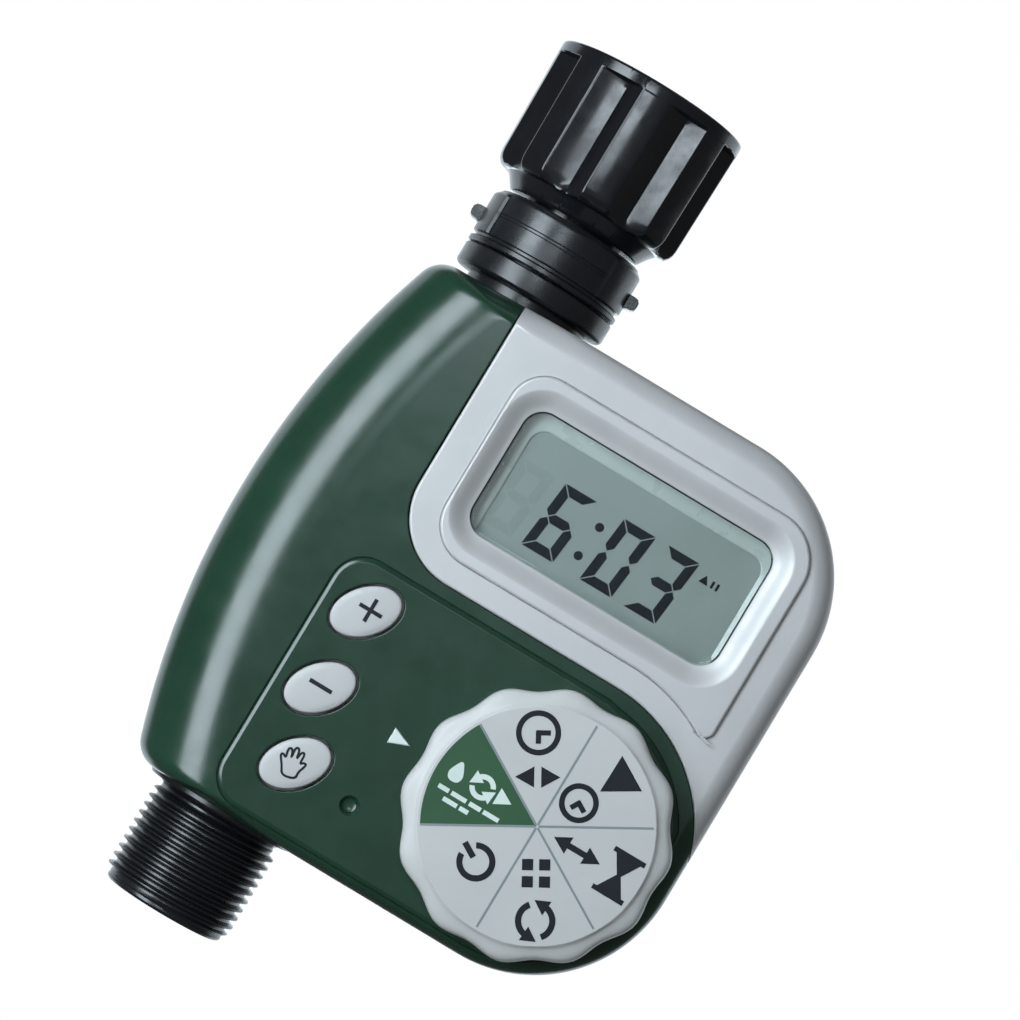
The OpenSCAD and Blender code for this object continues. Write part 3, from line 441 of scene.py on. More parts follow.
# ---------------------------------------------------------------- materials
class Nodes:
    """Short names for the nodes of one material."""

    def __init__(self, name):
        self.material = bpy.data.materials.new(name)
        self.material.use_nodes = True
        self.tree = self.material.node_tree
        self.bsdf = self.tree.nodes["Principled BSDF"]
        self.place = self.tree.nodes.new("ShaderNodeTexCoord").outputs["Object"]

    def add(self, kind, inputs=(), **settings):
        node = self.tree.nodes.new(kind)
        for key, value in settings.items():
            setattr(node, key, value)
        for key, value in dict(inputs).items():
            if isinstance(value, bpy.types.NodeSocket):
                self.tree.links.new(value, node.inputs[key])
            else:
                node.inputs[key].default_value = value
        return node

    def noise(self, scale, detail=3.0, rough=0.55, distortion=0.0):
        inputs = {"Vector": self.place, "Scale": scale, "Detail": detail, "Roughness": rough}
        return self.add("ShaderNodeTexNoise", inputs | {"Distortion": distortion}).outputs["Fac"]

    def remap(self, value, low, high, start=0.35, end=0.65):
        inputs = {"Value": value, "From Min": start, "From Max": end, "To Min": low, "To Max": high}
        return self.add("ShaderNodeMapRange", inputs).outputs["Result"]

    def mix(self, fac, a, b):
        node = self.add("ShaderNodeMix", data_type="RGBA")
        self.tree.links.new(fac, node.inputs["Factor"])
        for socket, colour in ((node.inputs[6], a), (node.inputs[7], b)):
            if isinstance(colour, bpy.types.NodeSocket):
                self.tree.links.new(colour, socket)
            else:
                socket.default_value = (*colour, 1)
        return node.outputs[2]

    def bump(self, height, strength, distance):
        inputs = {"Height": height, "Strength": strength, "Distance": distance}
        return self.add("ShaderNodeBump", inputs).outputs["Normal"]

    def link(self, value, socket):
        self.tree.links.new(value, self.bsdf.inputs[socket])


def plastic(name, light, dark, rough, grain=2600.0, grain_depth=3e-5, grain_strength=0.25, patch=60.0,
            metallic=0.0, specular=0.5):
    """Moulded plastic: faint patches of colour, a fine spark-eroded grain and uneven gloss."""
    m = Nodes(name)
    patches = m.remap(m.noise(patch, 4, 0.6, 0.4), 0.0, 1.0, 0.3, 0.7)
    fine = m.noise(grain, 2)
    m.link(m.mix(patches, dark, light), "Base Color")
    m.link(m.remap(m.noise(patch * 3.1, 5, 0.65), rough[0], rough[1]), "Roughness")
    m.link(m.bump(fine, grain_strength, grain_depth), "Normal")
    m.bsdf.inputs["Metallic"].default_value = metallic
    m.bsdf.inputs["Specular IOR Level"].default_value = specular
    return m.material


def metal(name, light, dark, rough):
    """Plain drawn or rolled metal with fine lines along it."""
    m = Nodes(name)
    stretched = m.add("ShaderNodeMapping", {"Vector": m.place, "Scale": (40.0, 40.0, 900.0)})
    lines = m.add("ShaderNodeTexNoise", {"Vector": stretched.outputs["Vector"], "Scale": 12.0, "Detail": 4.0})
    m.link(m.mix(lines.outputs["Fac"], dark, light), "Base Color")
    m.link(m.remap(lines.outputs["Fac"], rough[0], rough[1]), "Roughness")
    m.link(m.bump(lines.outputs["Fac"], 0.2, 0.00002), "Normal")
    m.bsdf.inputs["Metallic"].default_value = 1.0
    return m.material


def clear_plastic(name):
    """The polished window, faintly uneven."""
    m = Nodes(name)
    m.link(m.remap(m.noise(90, 3), 0.015, 0.05), "Roughness")
    m.link(m.bump(m.noise(25, 2), 0.05, 0.0003), "Normal")
    m.bsdf.inputs["Base Color"].default_value = (0.93, 0.97, 0.95, 1)
    m.bsdf.inputs["Transmission Weight"].default_value = 1.0
    m.bsdf.inputs["IOR"].default_value = 1.22
    return m.material


def lcd_glass(name):
    """The grey-green reflector behind the segments, with a soft cloudiness."""
    m = Nodes(name)
    clouds = m.remap(m.noise(34, 3, 0.5, 0.6), 0.0, 1.0, 0.3, 0.7)
    m.link(m.mix(clouds, (0.155, 0.184, 0.176), (0.195, 0.223, 0.214)), "Base Color")
    m.link(m.remap(m.noise(300, 4), 0.28, 0.42), "Roughness")
    m.link(m.bump(m.noise(4000, 1), 0.06, 0.00002), "Normal")
    return m.material


def board_green(name):
    m = Nodes(name)
    tracks = m.add("ShaderNodeTexBrick", {"Vector": m.place, "Scale": 160.0, "Mortar Size": 0.03})
    m.link(m.mix(tracks.outputs["Fac"], (0.02, 0.13, 0.06), (0.05, 0.24, 0.11)), "Base Color")
    m.link(m.remap(m.noise(200), 0.25, 0.4), "Roughness")
    m.link(m.bump(tracks.outputs["Fac"], 0.3, 0.00005), "Normal")
    return m.material


INK_GRAIN = (3000.0, 3e-5, 0.25, 60.0, 0.0)
# Each row: the light and the dark colour, the least and the most roughness, then as in plastic().
PLASTICS = {
    "green_shell": ((0.0105, 0.038, 0.022), (0.008, 0.030, 0.017), (0.19, 0.26)),
    "silver_bezel": ((0.515, 0.51, 0.51), (0.47, 0.465, 0.465), (0.40, 0.50), 3200.0, 2e-5, 0.2, 45.0, 0.2),
    "pale_dial": ((0.49, 0.49, 0.48), (0.455, 0.455, 0.445), (0.38, 0.5), 3000.0, 2e-5, 0.2),
    "pale_button": ((0.45, 0.45, 0.445), (0.41, 0.41, 0.405), (0.45, 0.55), 3600.0, 4e-5, 0.35),
    "dark_inner_plastic": ((0.018, 0.020, 0.022), (0.012, 0.013, 0.015), (0.4, 0.55)),
    "rubber": ((0.022, 0.022, 0.024), (0.015, 0.015, 0.016), (0.55, 0.75), 1800.0, 5e-5, 0.3),
    "coil_tape": ((0.36, 0.12, 0.05), (0.25, 0.07, 0.03), (0.3, 0.45)),
    "cell_jacket": ((0.06, 0.08, 0.10), (0.04, 0.05, 0.07), (0.2, 0.3)),
    "wire_red": ((0.40, 0.03, 0.03), (0.30, 0.02, 0.02), (0.35, 0.5)),
    "wire_black": ((0.02, 0.02, 0.02), (0.012, 0.012, 0.012), (0.35, 0.5)),
    "black_fitting": ((0.0065, 0.007, 0.009), (0.004, 0.0045, 0.006), (0.13, 0.24), 2200.0, 1e-5, 0.15, 70.0),
    "black_satin": ((0.008, 0.009, 0.011), (0.005, 0.0055, 0.007), (0.23, 0.34), 2600.0, 2e-5, 0.25, 70.0),
    "strainer": ((0.52, 0.53, 0.52), (0.42, 0.43, 0.42), (0.4, 0.55)),
    "print_dark": ((0.013, 0.015, 0.020), (0.009, 0.011, 0.015), (0.5, 0.65), *INK_GRAIN, 0.2),
    "print_line": ((0.22, 0.25, 0.26), (0.17, 0.20, 0.21), (0.45, 0.6), 3000.0),
    "print_green": ((0.016, 0.078, 0.028), (0.012, 0.063, 0.023), (0.4, 0.55), 3000.0),
    "print_pale": ((0.62, 0.70, 0.66), (0.52, 0.60, 0.56), (0.45, 0.6), 3000.0),
    "lcd_ink": ((0.006, 0.008, 0.011), (0.004, 0.006, 0.009), (0.5, 0.6), *INK_GRAIN, 0.1),
    "lcd_idle": ((0.162, 0.190, 0.182), (0.153, 0.180, 0.172), (0.3, 0.4), 3000.0),
    # The pale frame's colour, which also paints the highlight band inside the window's top and left edges.
    "lcd_frame_and_highlight": ((0.36, 0.395, 0.38), (0.32, 0.355, 0.34), (0.25, 0.35), 3000.0),
    "studio": ((0.86, 0.86, 0.86), (0.82, 0.82, 0.82), (0.6, 0.7), 400.0, 3e-5, 0.25, 3.0),
}
MATERIALS = {name: plastic(name, *look) for name, look in PLASTICS.items()}
MATERIALS |= {
    "clear_window": clear_plastic("clear_window"),
    "lcd_glass": lcd_glass("lcd_glass"),
    "circuit_board": board_green("circuit_board"),
    "steel": metal("steel", (0.62, 0.63, 0.65), (0.42, 0.43, 0.45), (0.22, 0.4)),
    "copper": metal("copper", (0.80, 0.45, 0.25), (0.62, 0.32, 0.16), (0.25, 0.4)),
}

SLOTS = {row["node"]: row["material_slot"] for row in frame["record"]["subparts"]}
for node_name, slot_name in SLOTS.items():
    cad = frame["nodes"][node_name]
    cad.data.materials.clear()
    cad.data.materials.append(MATERIALS[slot_name])


def finish(obj, node, body="timer", material=None):
    """A piece that stands for one CAD node and takes that node's slot."""
    return piece(obj, body, MATERIALS[material or SLOTS[node]], (node,))


# ---------------------------------------------------------------- housing
def fitting_cutters():
    """The holes for the inlet's neck and for the outlet."""
    return [rod_z("neck_hole", NECK_R + 0.1, TOP - 8, TOP + 12),
            rod_z("outlet_hole", NECK_R + 0.2, FOOT - 8, FOOT + 12)]


# The panel's chamfered edge and the reset button's dimple: offset or radius, and depth behind the panel.
PANEL_EDGE = ((-0.85, 0.0), (-0.72, 0.03), (-0.22, 0.2), (-0.07, 0.3), (0.0, 0.45))
RESET_DIMPLE = ((1.95, -0.5), (1.9, 0.0), (1.78, 0.1), (1.62, 0.35), (1.36, 0.62))


def make_front_cover():
    """The green front half, with its raised panel, the bezel's seat and the wells of the buttons."""
    shell = loft("front_cover_shell", front_rings(0, 0))
    boolean(shell, [flared("panel_gutter", offset(panel_outline(), 0.12), FRONT_Y, FRONT_Y + 0.35, 0.3)])
    panel = [at_y(offset(panel_outline(), d), PANEL_Y + y) for d, y in PANEL_EDGE]
    boolean(shell, [loft("panel", panel + [at_y(panel_outline(), FRONT_Y + 1)])], "UNION")
    cutters = [
        loft("inside", front_rings(WALL, 1)),
        flared("bezel_seat", bezel_outline(0.3, 0.15), FRONT_Y, FRONT_Y + BEZEL_SKIRT + 0.1, 0.2),
        rod_y("hub_hole", DIAL_C, HUB_R + 0.07, PANEL_Y - 1, INNER_Y + 1),
        rod_y("reset_hole", RESET_C, RESET_HOLE_R, PANEL_Y - 1, INNER_Y + 1),
        loft("reset_dimple", [at_y(circle(RESET_C, r), PANEL_Y + y) for r, y in RESET_DIMPLE]),
    ]
    cutters += [flared("well", oval(c, BUTTON_GAP), PANEL_Y, INNER_Y + 1, 0.25) for c in BUTTONS.values()]
    boolean(shell, cutters + fitting_cutters())
    finish(shell, "front_cover")


def make_rear_cover():
    """The green back half, with eight screw pillars and the opening for the battery tray's door."""
    shell = loft("rear_cover_shell", back_rings(0, 0))
    grow = TRAY_GROW + TRAY_SLIP
    door_hole = block("tray_door_hole", (68, TRAY_LO[1] - grow, TRAY_LO[2] - grow),
                      (OUTSIDE_X, TRAY_HI[1] + grow - 1, TRAY_HI[2] + grow))
    boolean(shell, [loft("inside", back_rings(WALL, -1)), door_hole] + fitting_cutters())
    boolean(shell, [rod_y("pillar", c, PILLAR_R, 0.05, BACK_Y - 1) for c in HOUSING_BOSSES], "UNION")
    wells = [rod_y("screw_well", c, SCREW_WELL_R, SCREW_SEAT, BACK_Y + 1) for c in HOUSING_BOSSES]
    holes = [rod_y("screw_hole", c, SCREW_R, -1, BACK_Y) for c in HOUSING_BOSSES]
    mouths = [loft("well_mouth", [at_y(circle(c, 2.9), BACK_Y - 0.6), at_y(circle(c, 3.6), BACK_Y + 0.1)])
              for c in HOUSING_BOSSES]
    boolean(shell, wells + holes + mouths)
    finish(shell, "rear_cover")


def window_rect(grow, corner):
    """The window's outline grown on all sides, with its corners' radius grown by `corner`."""
    return rounded_rect(WINDOW_C, WINDOW_W + 2 * grow, WINDOW_H + 2 * grow, WINDOW_R + corner)


def window_slope_rings():
    """The dished slope from the raised frame down to the window, eased at both ends."""
    top, steps = FRONT_Y - FRAME_RISE, 10
    rings = [at_y(window_rect(WINDOW_SLOPE + 0.3, WINDOW_SLOPE), top - 1)]
    for k in range(steps + 1):
        t = k / steps
        grow = WINDOW_SLOPE * (1 - t)
        rings.append(at_y(window_rect(grow, grow), top + WINDOW_DISH * (0.35 * t + 0.65 * smooth(t))))
    return rings + [at_y(window_rect(0, 0), INNER_Y + 2)]


def edge_cutter(points, fillet):
    """A ring that rounds over the front edge of what stands inside an outline at the front face."""
    profile = [(-fillet, -0.6), (-fillet, -0.001)]
    profile += [(-fillet * across, fillet * down) for across, down in quarter(FILLET_STEPS)[1:]]
    profile += [(0.3, fillet), (0.3, -0.6)]
    return hoop("edge_ring", [at_y(offset(points, d), FRONT_Y + y) for d, y in profile])


def make_bezel():
    """The silver bezel: its skin, a raised frame in a shallow gutter, and the slope down to the window."""
    shell = loft("bezel_shell", front_rings(0, 0))
    area = bezel_outline(0, 0)
    boolean(shell, [loft("inside", front_rings(WALL, 1))])
    boolean(shell, [prism("bezel_area", area, FRONT_Y - 4, FRONT_Y + BEZEL_SKIRT)], "INTERSECT")
    boolean(shell, [edge_cutter(area, 0.5)])
    boolean(shell, [prism("frame_gutter", offset(frame_outline(), 0.16), FRONT_Y - 3, FRONT_Y + 0.4)])
    boolean(shell, [raised("frame", frame_outline(), FRONT_Y - FRAME_RISE, FRONT_Y + 1, 0.55)], "UNION")
    boolean(shell, [loft("slope", window_slope_rings())])
    finish(shell, "display_bezel")


# ---------------------------------------------------------------- display
def make_window():
    """The clear window: a polished pad with eased edges, on a flange behind the bezel."""
    pad, flange = window_rect(-0.3, -0.3), window_rect(1.5, 0)
    rings = rolled(pad, WINDOW_Y, 0.7)
    rings += [at_y(pad, INNER_Y + 0.02), at_y(flange, INNER_Y + 0.02), at_y(flange, INNER_Y + 1.2)]
    pane = finish(loft("display_window_pane", rings), "display_window")
    pane.visible_shadow = False
    pane.visible_diffuse = False


def plates(name, shapes, y0, y1):
    """Thin flat plates of the given outlines, as one object; plates that cross never share a plane."""
    points, faces = [], []
    for i, shape in enumerate(shapes):
        faces += loft_faces(len(shape), 2, len(points))
        points += at_y(shape, y0 + PLATE_STEP * (i % 3)) + at_y(shape, y1)
    return make(name, points, faces)


def printed(name, shapes, y0, y1, body, ink):
    """A print of thin plates from y0 back to y1, in a material of its own."""
    piece(plates(name, shapes, y0, y1), body, MATERIALS[ink])


def bar(p, q, w):
    """A straight stroke of width w."""
    p, q = Vector(p), Vector(q)
    along = (q - p).normalized() * (w / 2)
    side = Vector((-along.y, along.x))
    return [tuple(corner) for corner in (p + side, q + side, q - side, p - side)]


def band(c, r, w, a0, a1, n=24):
    """A stroke of width w along an arc of radius r."""
    return arc(c, r + w / 2, r + w / 2, a0, a1, n) + arc(c, r - w / 2, r - w / 2, a1, a0, n)


def ring(c, r, w):
    return [band(c, r, w, 0, 180), band(c, r, w, 180, 360)]


def triangle(c, size, angle):
    """A triangle whose tip points along the angle."""
    return turned([(size * 0.6, 0), (-size * 0.4, size * 0.55), (-size * 0.4, -size * 0.55)], c, angle)


def softened(points):
    """An outline with its corners cut twice over, which rounds them."""
    for _ in range(2):
        pairs = zip(points, points[1:] + points[:1])
        points = [(u * p[0] + (1 - u) * q[0], u * p[1] + (1 - u) * q[1])
                  for p, q in pairs for u in (0.75, 0.25)]
    return points


SEGMENTS = {"0": "abcdef", "3": "abcdg", "6": "acdefg", "8": "abcdefg"}
DIGIT_A, DIGIT_B, DIGIT_H, DIGIT_GAP = 2.45, 5.9, 0.92, 0.15
DIGIT_LEAN = math.tan(math.radians(6))


def segment(letter):
    """One of the seven bars of a digit, mitred at its ends."""
    a, b, h, g = DIGIT_A, DIGIT_B, DIGIT_H, DIGIT_GAP
    top = [(-a - h + g, b + h), (a + h - g, b + h), (a - h - g, b - h), (-a + h + g, b - h)]
    upper = [(a + h, b + h - g), (a + h, h + g), (a, g), (a - h, h + g), (a - h, b - h - g)]
    middle = [(-a + g, 0), (-a + h + g, h), (a - h - g, h), (a - g, 0), (a - h - g, -h), (-a + h + g, -h)]
    flips = {"a": (top, 1, 1), "b": (upper, 1, 1), "c": (upper, 1, -1), "d": (top, 1, -1),
             "e": (upper, -1, -1), "f": (upper, -1, 1), "g": (middle, 1, 1)}
    shape, sx, sz = flips[letter]
    return [(x * sx, z * sz) for x, z in shape]


def digit(character, x):
    """A digit of leaning bars, centred at x."""
    bars = [segment(letter) for letter in SEGMENTS[character]]
    return [[(x + px + pz * DIGIT_LEAN, DIGIT_Z + pz) for px, pz in shape] for shape in bars]


def make_lcd():
    """The clock's digits with their colon, a small mark, one idle digit and a pale frame, partly painted
    highlight.
    """
    shapes = digit("6", 26.2) + digit("0", 38.6) + digit("3", 47.9)
    shapes += [circle((32.9, -61.9), 0.85, 20), circle((32.2, -68.3), 0.85, 20)]
    mark = [triangle((54.2, -60.3), 1.7, 90)] + [bar((x, -61.0), (x, -59.6), 0.5) for x in (55.9, 56.9)]
    back = LCD_Y - 0.005
    for name, dark in (("lcd_segments", shapes), ("lcd_mark", mark)):
        printed(name, dark, LCD_Y - 0.06, back, "timer", "lcd_ink")
    printed("lcd_idle_segments", digit("8", 17.3), LCD_Y - 0.04, back, "timer", "lcd_idle")
    # Painted highlight: the pale frame's band is widest at the top and left, thin at the right, and none at
    # the bottom.
    outer = window_rect(-0.35, -0.3)
    inner = rounded_rect((38.1, -63.9), 48.6, 24.2, 3.0)
    outlines = ((inner, 0.01), (inner, 0.2), (offset(inner, 0.4), 0.38), (outer, 0.38), (outer, 0.01))
    frame_and_highlight = hoop("lcd_frame_and_highlight", [at_y(points, LCD_Y - rise) for points, rise in outlines])
    piece(frame_and_highlight, "timer", MATERIALS["lcd_frame_and_highlight"])


# ---------------------------------------------------------------- buttons
def make_button(node, icon):
    """A crowned oval button with its flange and stem, and the mark printed on it."""
    c = BUTTONS[node]
    front = PANEL_Y - BUTTON_RISE
    flange = oval(c, BUTTON_FLANGE)
    rings = [[(c[0] + x * s, front + BUTTON_CROWN * s * s, c[1] + z * s) for x, z in oval((0, 0), 0)]
             for s in (0.12, 0.3, 0.5, 0.7, 0.85)]
    rings += [at_y(oval(c, -BUTTON_ROUND * across), front + BUTTON_CROWN + BUTTON_ROUND * down)
              for across, down in quarter(5)]
    rings += [at_y(oval(c, 0), INNER_Y + 0.05), at_y(flange, INNER_Y + 0.05), at_y(flange, INNER_Y + 1)]
    button = loft(node + "_cap", rings)
    boolean(button, [rod_y("stem", c, 2.4, INNER_Y + 0.5, -25.35)], "UNION")
    finish(button, node, node)
    printed(node + "_print", icon, front - 0.03, front + 0.1, node, "print_dark")


def make_reset():
    """The small green reset button at the bottom of its dimple, with a hollow face."""
    profile = ((0.25, 0.86), (0.6, 0.83), (0.95, 0.75), (1.15, 0.68), (1.22, 0.66), (1.28, 0.72),
               (1.28, 3.05), (2.2, 3.05), (2.2, 3.9), (1.0, 3.9), (1.0, 5.9))
    rings = [at_y(circle(RESET_C, r, 40), PANEL_Y + y) for r, y in profile]
    finish(loft("reset_button_cap", rings), "reset_button", "reset_button")


def hand_icon(c):
    """The outline of an open hand."""
    hand = [(-1.3, -2.7), (-1.7, -1.0), (-2.5, 0.7), (-2.1, 1.2), (-1.4, 0.4), (-1.5, 2.1), (-1.0, 2.5),
            (-0.6, 2.1), (-0.45, 0.7), (-0.3, 2.5), (0.2, 2.9), (0.6, 2.4), (0.5, 0.7), (1.0, 2.1),
            (1.5, 2.3), (1.7, 1.8), (1.3, 0.1), (1.9, 0.5), (2.5, 0.4), (2.2, -0.3), (1.5, -1.3),
            (1.3, -2.7)]
    points = softened(turned(hand, c, 14))
    outer, inner = offset(points, 0.2), offset(points, -0.2)
    n = len(points)
    return [[outer[i], outer[(i + 1) % n], inner[(i + 1) % n], inner[i]] for i in range(n)]


# ---------------------------------------------------------------- dial
def scallop(a):
    """The dial's outer radius at an angle."""
    return DIAL_R - DIAL_DIP * (1 - math.cos(DIAL_LOBES * (a - math.pi / DIAL_LOBES))) / 2


# The dial's side: how far out towards the scalloped edge, a scale, and the depth behind the printed face.
DIAL_SIDE = ((0.0, 0.15, 0.0), (0.0, 0.6, 0.0), (0.0, 1.0, 0.0), (0.04, 1, 0.03), (0.09, 1, 0.16),
             (0.16, 1, 0.4), (0.3, 1, 0.62), (0.5, 1, 0.8), (0.7, 1, 1.0), (0.86, 1, 1.35), (0.95, 1, 1.85),
             (1.0, 1, 2.6), (1.0, 1, 6.4), (0.93, 1, 6.75), (0.85, 1, 6.9))


def make_dial():
    """The dial: a flat face, a soft rim and twelve lobes, hollow behind with six ribs."""
    front = DIAL_FRONT + 0.1
    rings = []
    for t, scale, depth in DIAL_SIDE:
        spokes = [(-a, (DIAL_FACE_R + (scallop(-a) - DIAL_FACE_R) * t) * scale) for a in even_angles(360)]
        rings.append(at_y([polar(DIAL_C, r, a) for a, r in spokes], front + depth))
    dial = loft("selector_dial_knob", rings)
    pocket = rod_y("pocket", DIAL_C, DIAL_FACE_R, DIAL_BACK - 5.4, DIAL_BACK + 0.4, 120)
    ribs = []
    for a in (0, 60, 120):
        ends = [polar(DIAL_C, reach, math.radians(a)) for reach in (-DIAL_FACE_R * 1.1, DIAL_FACE_R * 1.1)]
        ribs.append(prism("rib", bar(*ends, 1.2), DIAL_BACK - 6, DIAL_BACK - 1))
    boolean(pocket, ribs + [rod_y("core", DIAL_C, HUB_R, DIAL_BACK - 7, DIAL_BACK + 1)])
    boolean(dial, [pocket])
    boolean(dial, [rod_y("hub", DIAL_C, HUB_R, DIAL_BACK - 2, HUB_END, 72)], "UNION")
    boolean(dial, [rod_y("screw_bore", DIAL_C, 1.1, DIAL_BACK - 5.4, HUB_END + 1)])
    finish(dial, "selector_dial", "selector_dial")
    make_dial_print(front)


def on_dial(shapes, angle, scale=ICON_SCALE):
    """Shapes drawn upright and read towards the centre, placed in the sector at the given angle."""
    place = polar(DIAL_C, ICON_REACH, math.radians(angle))
    return [turned([(scale * x, scale * z) for x, z in shape], place, angle + 180) for shape in shapes]


def clock(x, r):
    """A clock face with two hands."""
    hands = [bar((x, -0.3), (x, r * 0.62), 0.8), bar((x - 0.3, 0), (x + r * 0.55, 0), 0.8)]
    return ring((x, 0), r, 0.85) + hands


def turning_arrows(c, r, w):
    """Two curved arrows that chase each other."""
    heads = [triangle(polar(c, r, math.radians(a)), w * 2.4, a + 78) for a in (158, 338)]
    return [band(c, r, w, 20, 150), band(c, r, w, 200, 330)] + heads


def make_dial_print(front):
    """The dial's prints: five dark signs, six dividing lines, and the green sector with its pale signs."""
    def dial_print(name, shapes, rise, ink):
        printed(name, shapes, front - rise, front + 0.05, "selector_dial", ink)

    dark = on_dial(clock(-3.5, 3.0) + [triangle((3.2, 1.7), 2.9, 90), triangle((3.2, -1.7), 2.9, -90)], 120)
    dark += on_dial([triangle((-3.6, 0), 5.6, 0)] + clock(3.4, 2.6), 60)
    glass = ((-2.3, 3.2), (2.3, 3.2), (0.35, 0), (-0.35, 0))
    hourglass = [[(x - 3.8, z * side) for x, z in glass] for side in (1, -1)]
    hourglass += [bar((-6.5, z), (-1.1, z), 0.8) for z in (3.3, -3.3)]
    span = [bar((1.6, 0), (5.6, 0), 0.95), triangle((6.1, 0), 2.6, 0), triangle((1.1, 0), 2.6, 180)]
    dark += on_dial(hourglass + span, 0)
    squares = [bar((x - 0.85, z), (x + 0.85, z), 1.7) for x in (2.3, 4.9) for z in (-1.3, 1.3)]
    dark += on_dial(turning_arrows((-3.6, 0), 2.6, 0.95) + squares, 300)
    dark += on_dial([band((0, -0.2), 2.5, 0.95, 120, 420, 40), bar((0, 0.6), (0, 3.2), 0.95)], 240)
    dial_print("dial_marks", dark, 0.05, "print_dark")

    borders = [math.radians(angle) for angle in range(30, 360, 60)]
    lines = [bar(polar(DIAL_C, 0.3, a), polar(DIAL_C, SECTOR_R, a), 0.42) for a in borders]
    dial_print("dial_lines", lines, 0.045, "print_line")

    sector = arc(DIAL_C, SECTOR_R, SECTOR_R, 150.5, 209.5, 30) + [DIAL_C]
    dial_print("dial_auto_field", [sector], 0.03, "print_green")
    drop = softened([(0, 2.6), (1.1, 0.6), (1.5, -0.6), (0.9, -1.8), (-0.9, -1.8), (-1.5, -0.6), (-1.1, 0.6)])
    pale = [[(x - 4.6, z + 0.9) for x, z in drop], *turning_arrows((0.7, 1.0), 1.9, 0.95)]
    pale.append(triangle((4.9, 1.0), 3.0, 0))
    dashes = ((-6.3, 2.2, -2.7), (-3.6, 3.1, -2.7), (0.1, 2.4, -2.7), (3.0, 3.2, -2.7), (-4.4, 2.9, -4.3),
              (-1.0, 1.8, -4.3))
    pale += [bar((x, z), (x + w, z), 0.85) for x, w, z in dashes]
    dial_print("dial_auto_marks", on_dial(pale, 180, 1.0), 0.08, "print_pale")


def make_pointer():
    """The small raised pointer on the panel that shows the dial's setting."""
    shape = [(19.9, -112.0), (23.9, -113.6), (19.9, -115.2)]
    pointer = raised("dial_pointer", shape, PANEL_Y - 0.3, PANEL_Y + 0.05, 0.3)
    piece(pointer, "timer", MATERIALS["print_pale"])


# ---------------------------------------------------------------- turned parts
def turned_part(name, rows, angles, thread=None, closed=False):
    """A skin of rows about Z, each (radius or function of angle, z), or "thread" for the thread's helix."""
    bm = bmesh.new()
    n = len(angles)

    def ring_of(radius, z):
        if radius == 0:
            return [bm.verts.new((0, 0, z))] * n
        return [bm.verts.new(on_ring(radius(a) if callable(radius) else radius, a, z)) for a in angles]

    def skin(lower, upper):
        for i in range(n):
            quad = [lower[i], lower[(i + 1) % n], upper[(i + 1) % n], upper[i]]
            corners = list(dict.fromkeys(quad))
            if len(corners) > 2:
                bm.faces.new(corners)

    previous = first = None
    for row in rows:
        if row == "thread":
            z_from, z_to, base, crest = thread
            helix_skin(bm, angles, *sorted((z_from, z_to)), base, crest)
            skin(previous, ring_of(base, z_from))
            previous = ring_of(base, z_to)
            continue
        current = ring_of(*row)
        if previous:
            skin(previous, current)
        first = first or current
        previous = current
    if closed:
        skin(previous, first)
    bmesh.ops.remove_doubles(bm, verts=bm.verts, dist=0.002)
    bmesh.ops.dissolve_degenerate(bm, edges=bm.edges, dist=0.001)
    obj = make(name, [], [])
    bm.to_mesh(obj.data)
    bm.free()
    return obj


# One turn of the thread: how far up the pitch, and how full.
THREAD_TOOTH = ((0.00, 0.0), (0.07, 0.05), (0.29, 0.93), (0.345, 1.0), (0.465, 1.0), (0.52, 0.93),
                (0.74, 0.05), (0.81, 0.0))


def helix_skin(bm, angles, low, high, base, crest):
    """Adds a right-hand thread between two heights; its rows follow the helix and fade out at both ends."""
    n, per_turn = len(angles), len(THREAD_TOOTH)
    last = (int((high - low) / PITCH) + 3) * per_turn
    rows = {}
    for k in range(-per_turn, last):
        turn, step = divmod(k, per_turn)
        rise, fullness = THREAD_TOOTH[step]
        for i, a in enumerate(angles):
            z = low + PITCH * (turn + rise + (a - angles[0]) / math.tau)
            ends = smooth((z - low) / THREAD_FADE) * smooth((high - z) / THREAD_FADE)
            r = base + (crest - base) * fullness * ends
            rows[k, i] = bm.verts.new(on_ring(r, a, min(max(z, low), high)))
    for k in range(-per_turn, last - 1):
        for i in range(n):
            ahead = [(k, i + 1), (k + 1, i + 1)] if i + 1 < n else [(k + per_turn, 0), (k + 1 + per_turn, 0)]
            if ahead[1] not in rows:
                continue
            quad = [rows[k, i], rows[ahead[0]], rows[ahead[1]], rows[k + 1, i]]
            if max(v.co.z for v in quad) - min(v.co.z for v in quad) > 1e-6:
                bm.faces.new(quad)


FLUTES, FLUTE_TURN, FLUTE_FIRST = 8, 45, -108.5
FLUTE_HALF, FLUTE_END, FLUTE_CREASE, FLUTE_HOLLOW, FLUTE_LIP = 13.25, 14.1, 3.1, 0.16, 0.1
FLUTE_STEPS = (-22.5, -20, -17, -14.8, -14.1, -13.7, -13.25, -12.9, -12.3, -11, -9, -6.5, -4, -1.5, 0.8, 2.3,
               2.8, 3.1, 3.4, 3.9, 5.5, 8, 10.5, 12.3, 12.9, 13.25, 13.7, 14.1, 14.8, 17, 20)


def chord(turn, start, end):
    """Radius at an angle along the straight line between two points given as angle and radius."""
    (x0, y0), (x1, y1) = [polar((0, 0), r, math.radians(a)) for a, r in (start, end)]
    a = math.radians(turn)
    return (x0 * (y1 - y0) - y0 * (x1 - x0)) / (math.cos(a) * (y1 - y0) - math.sin(a) * (x1 - x0))


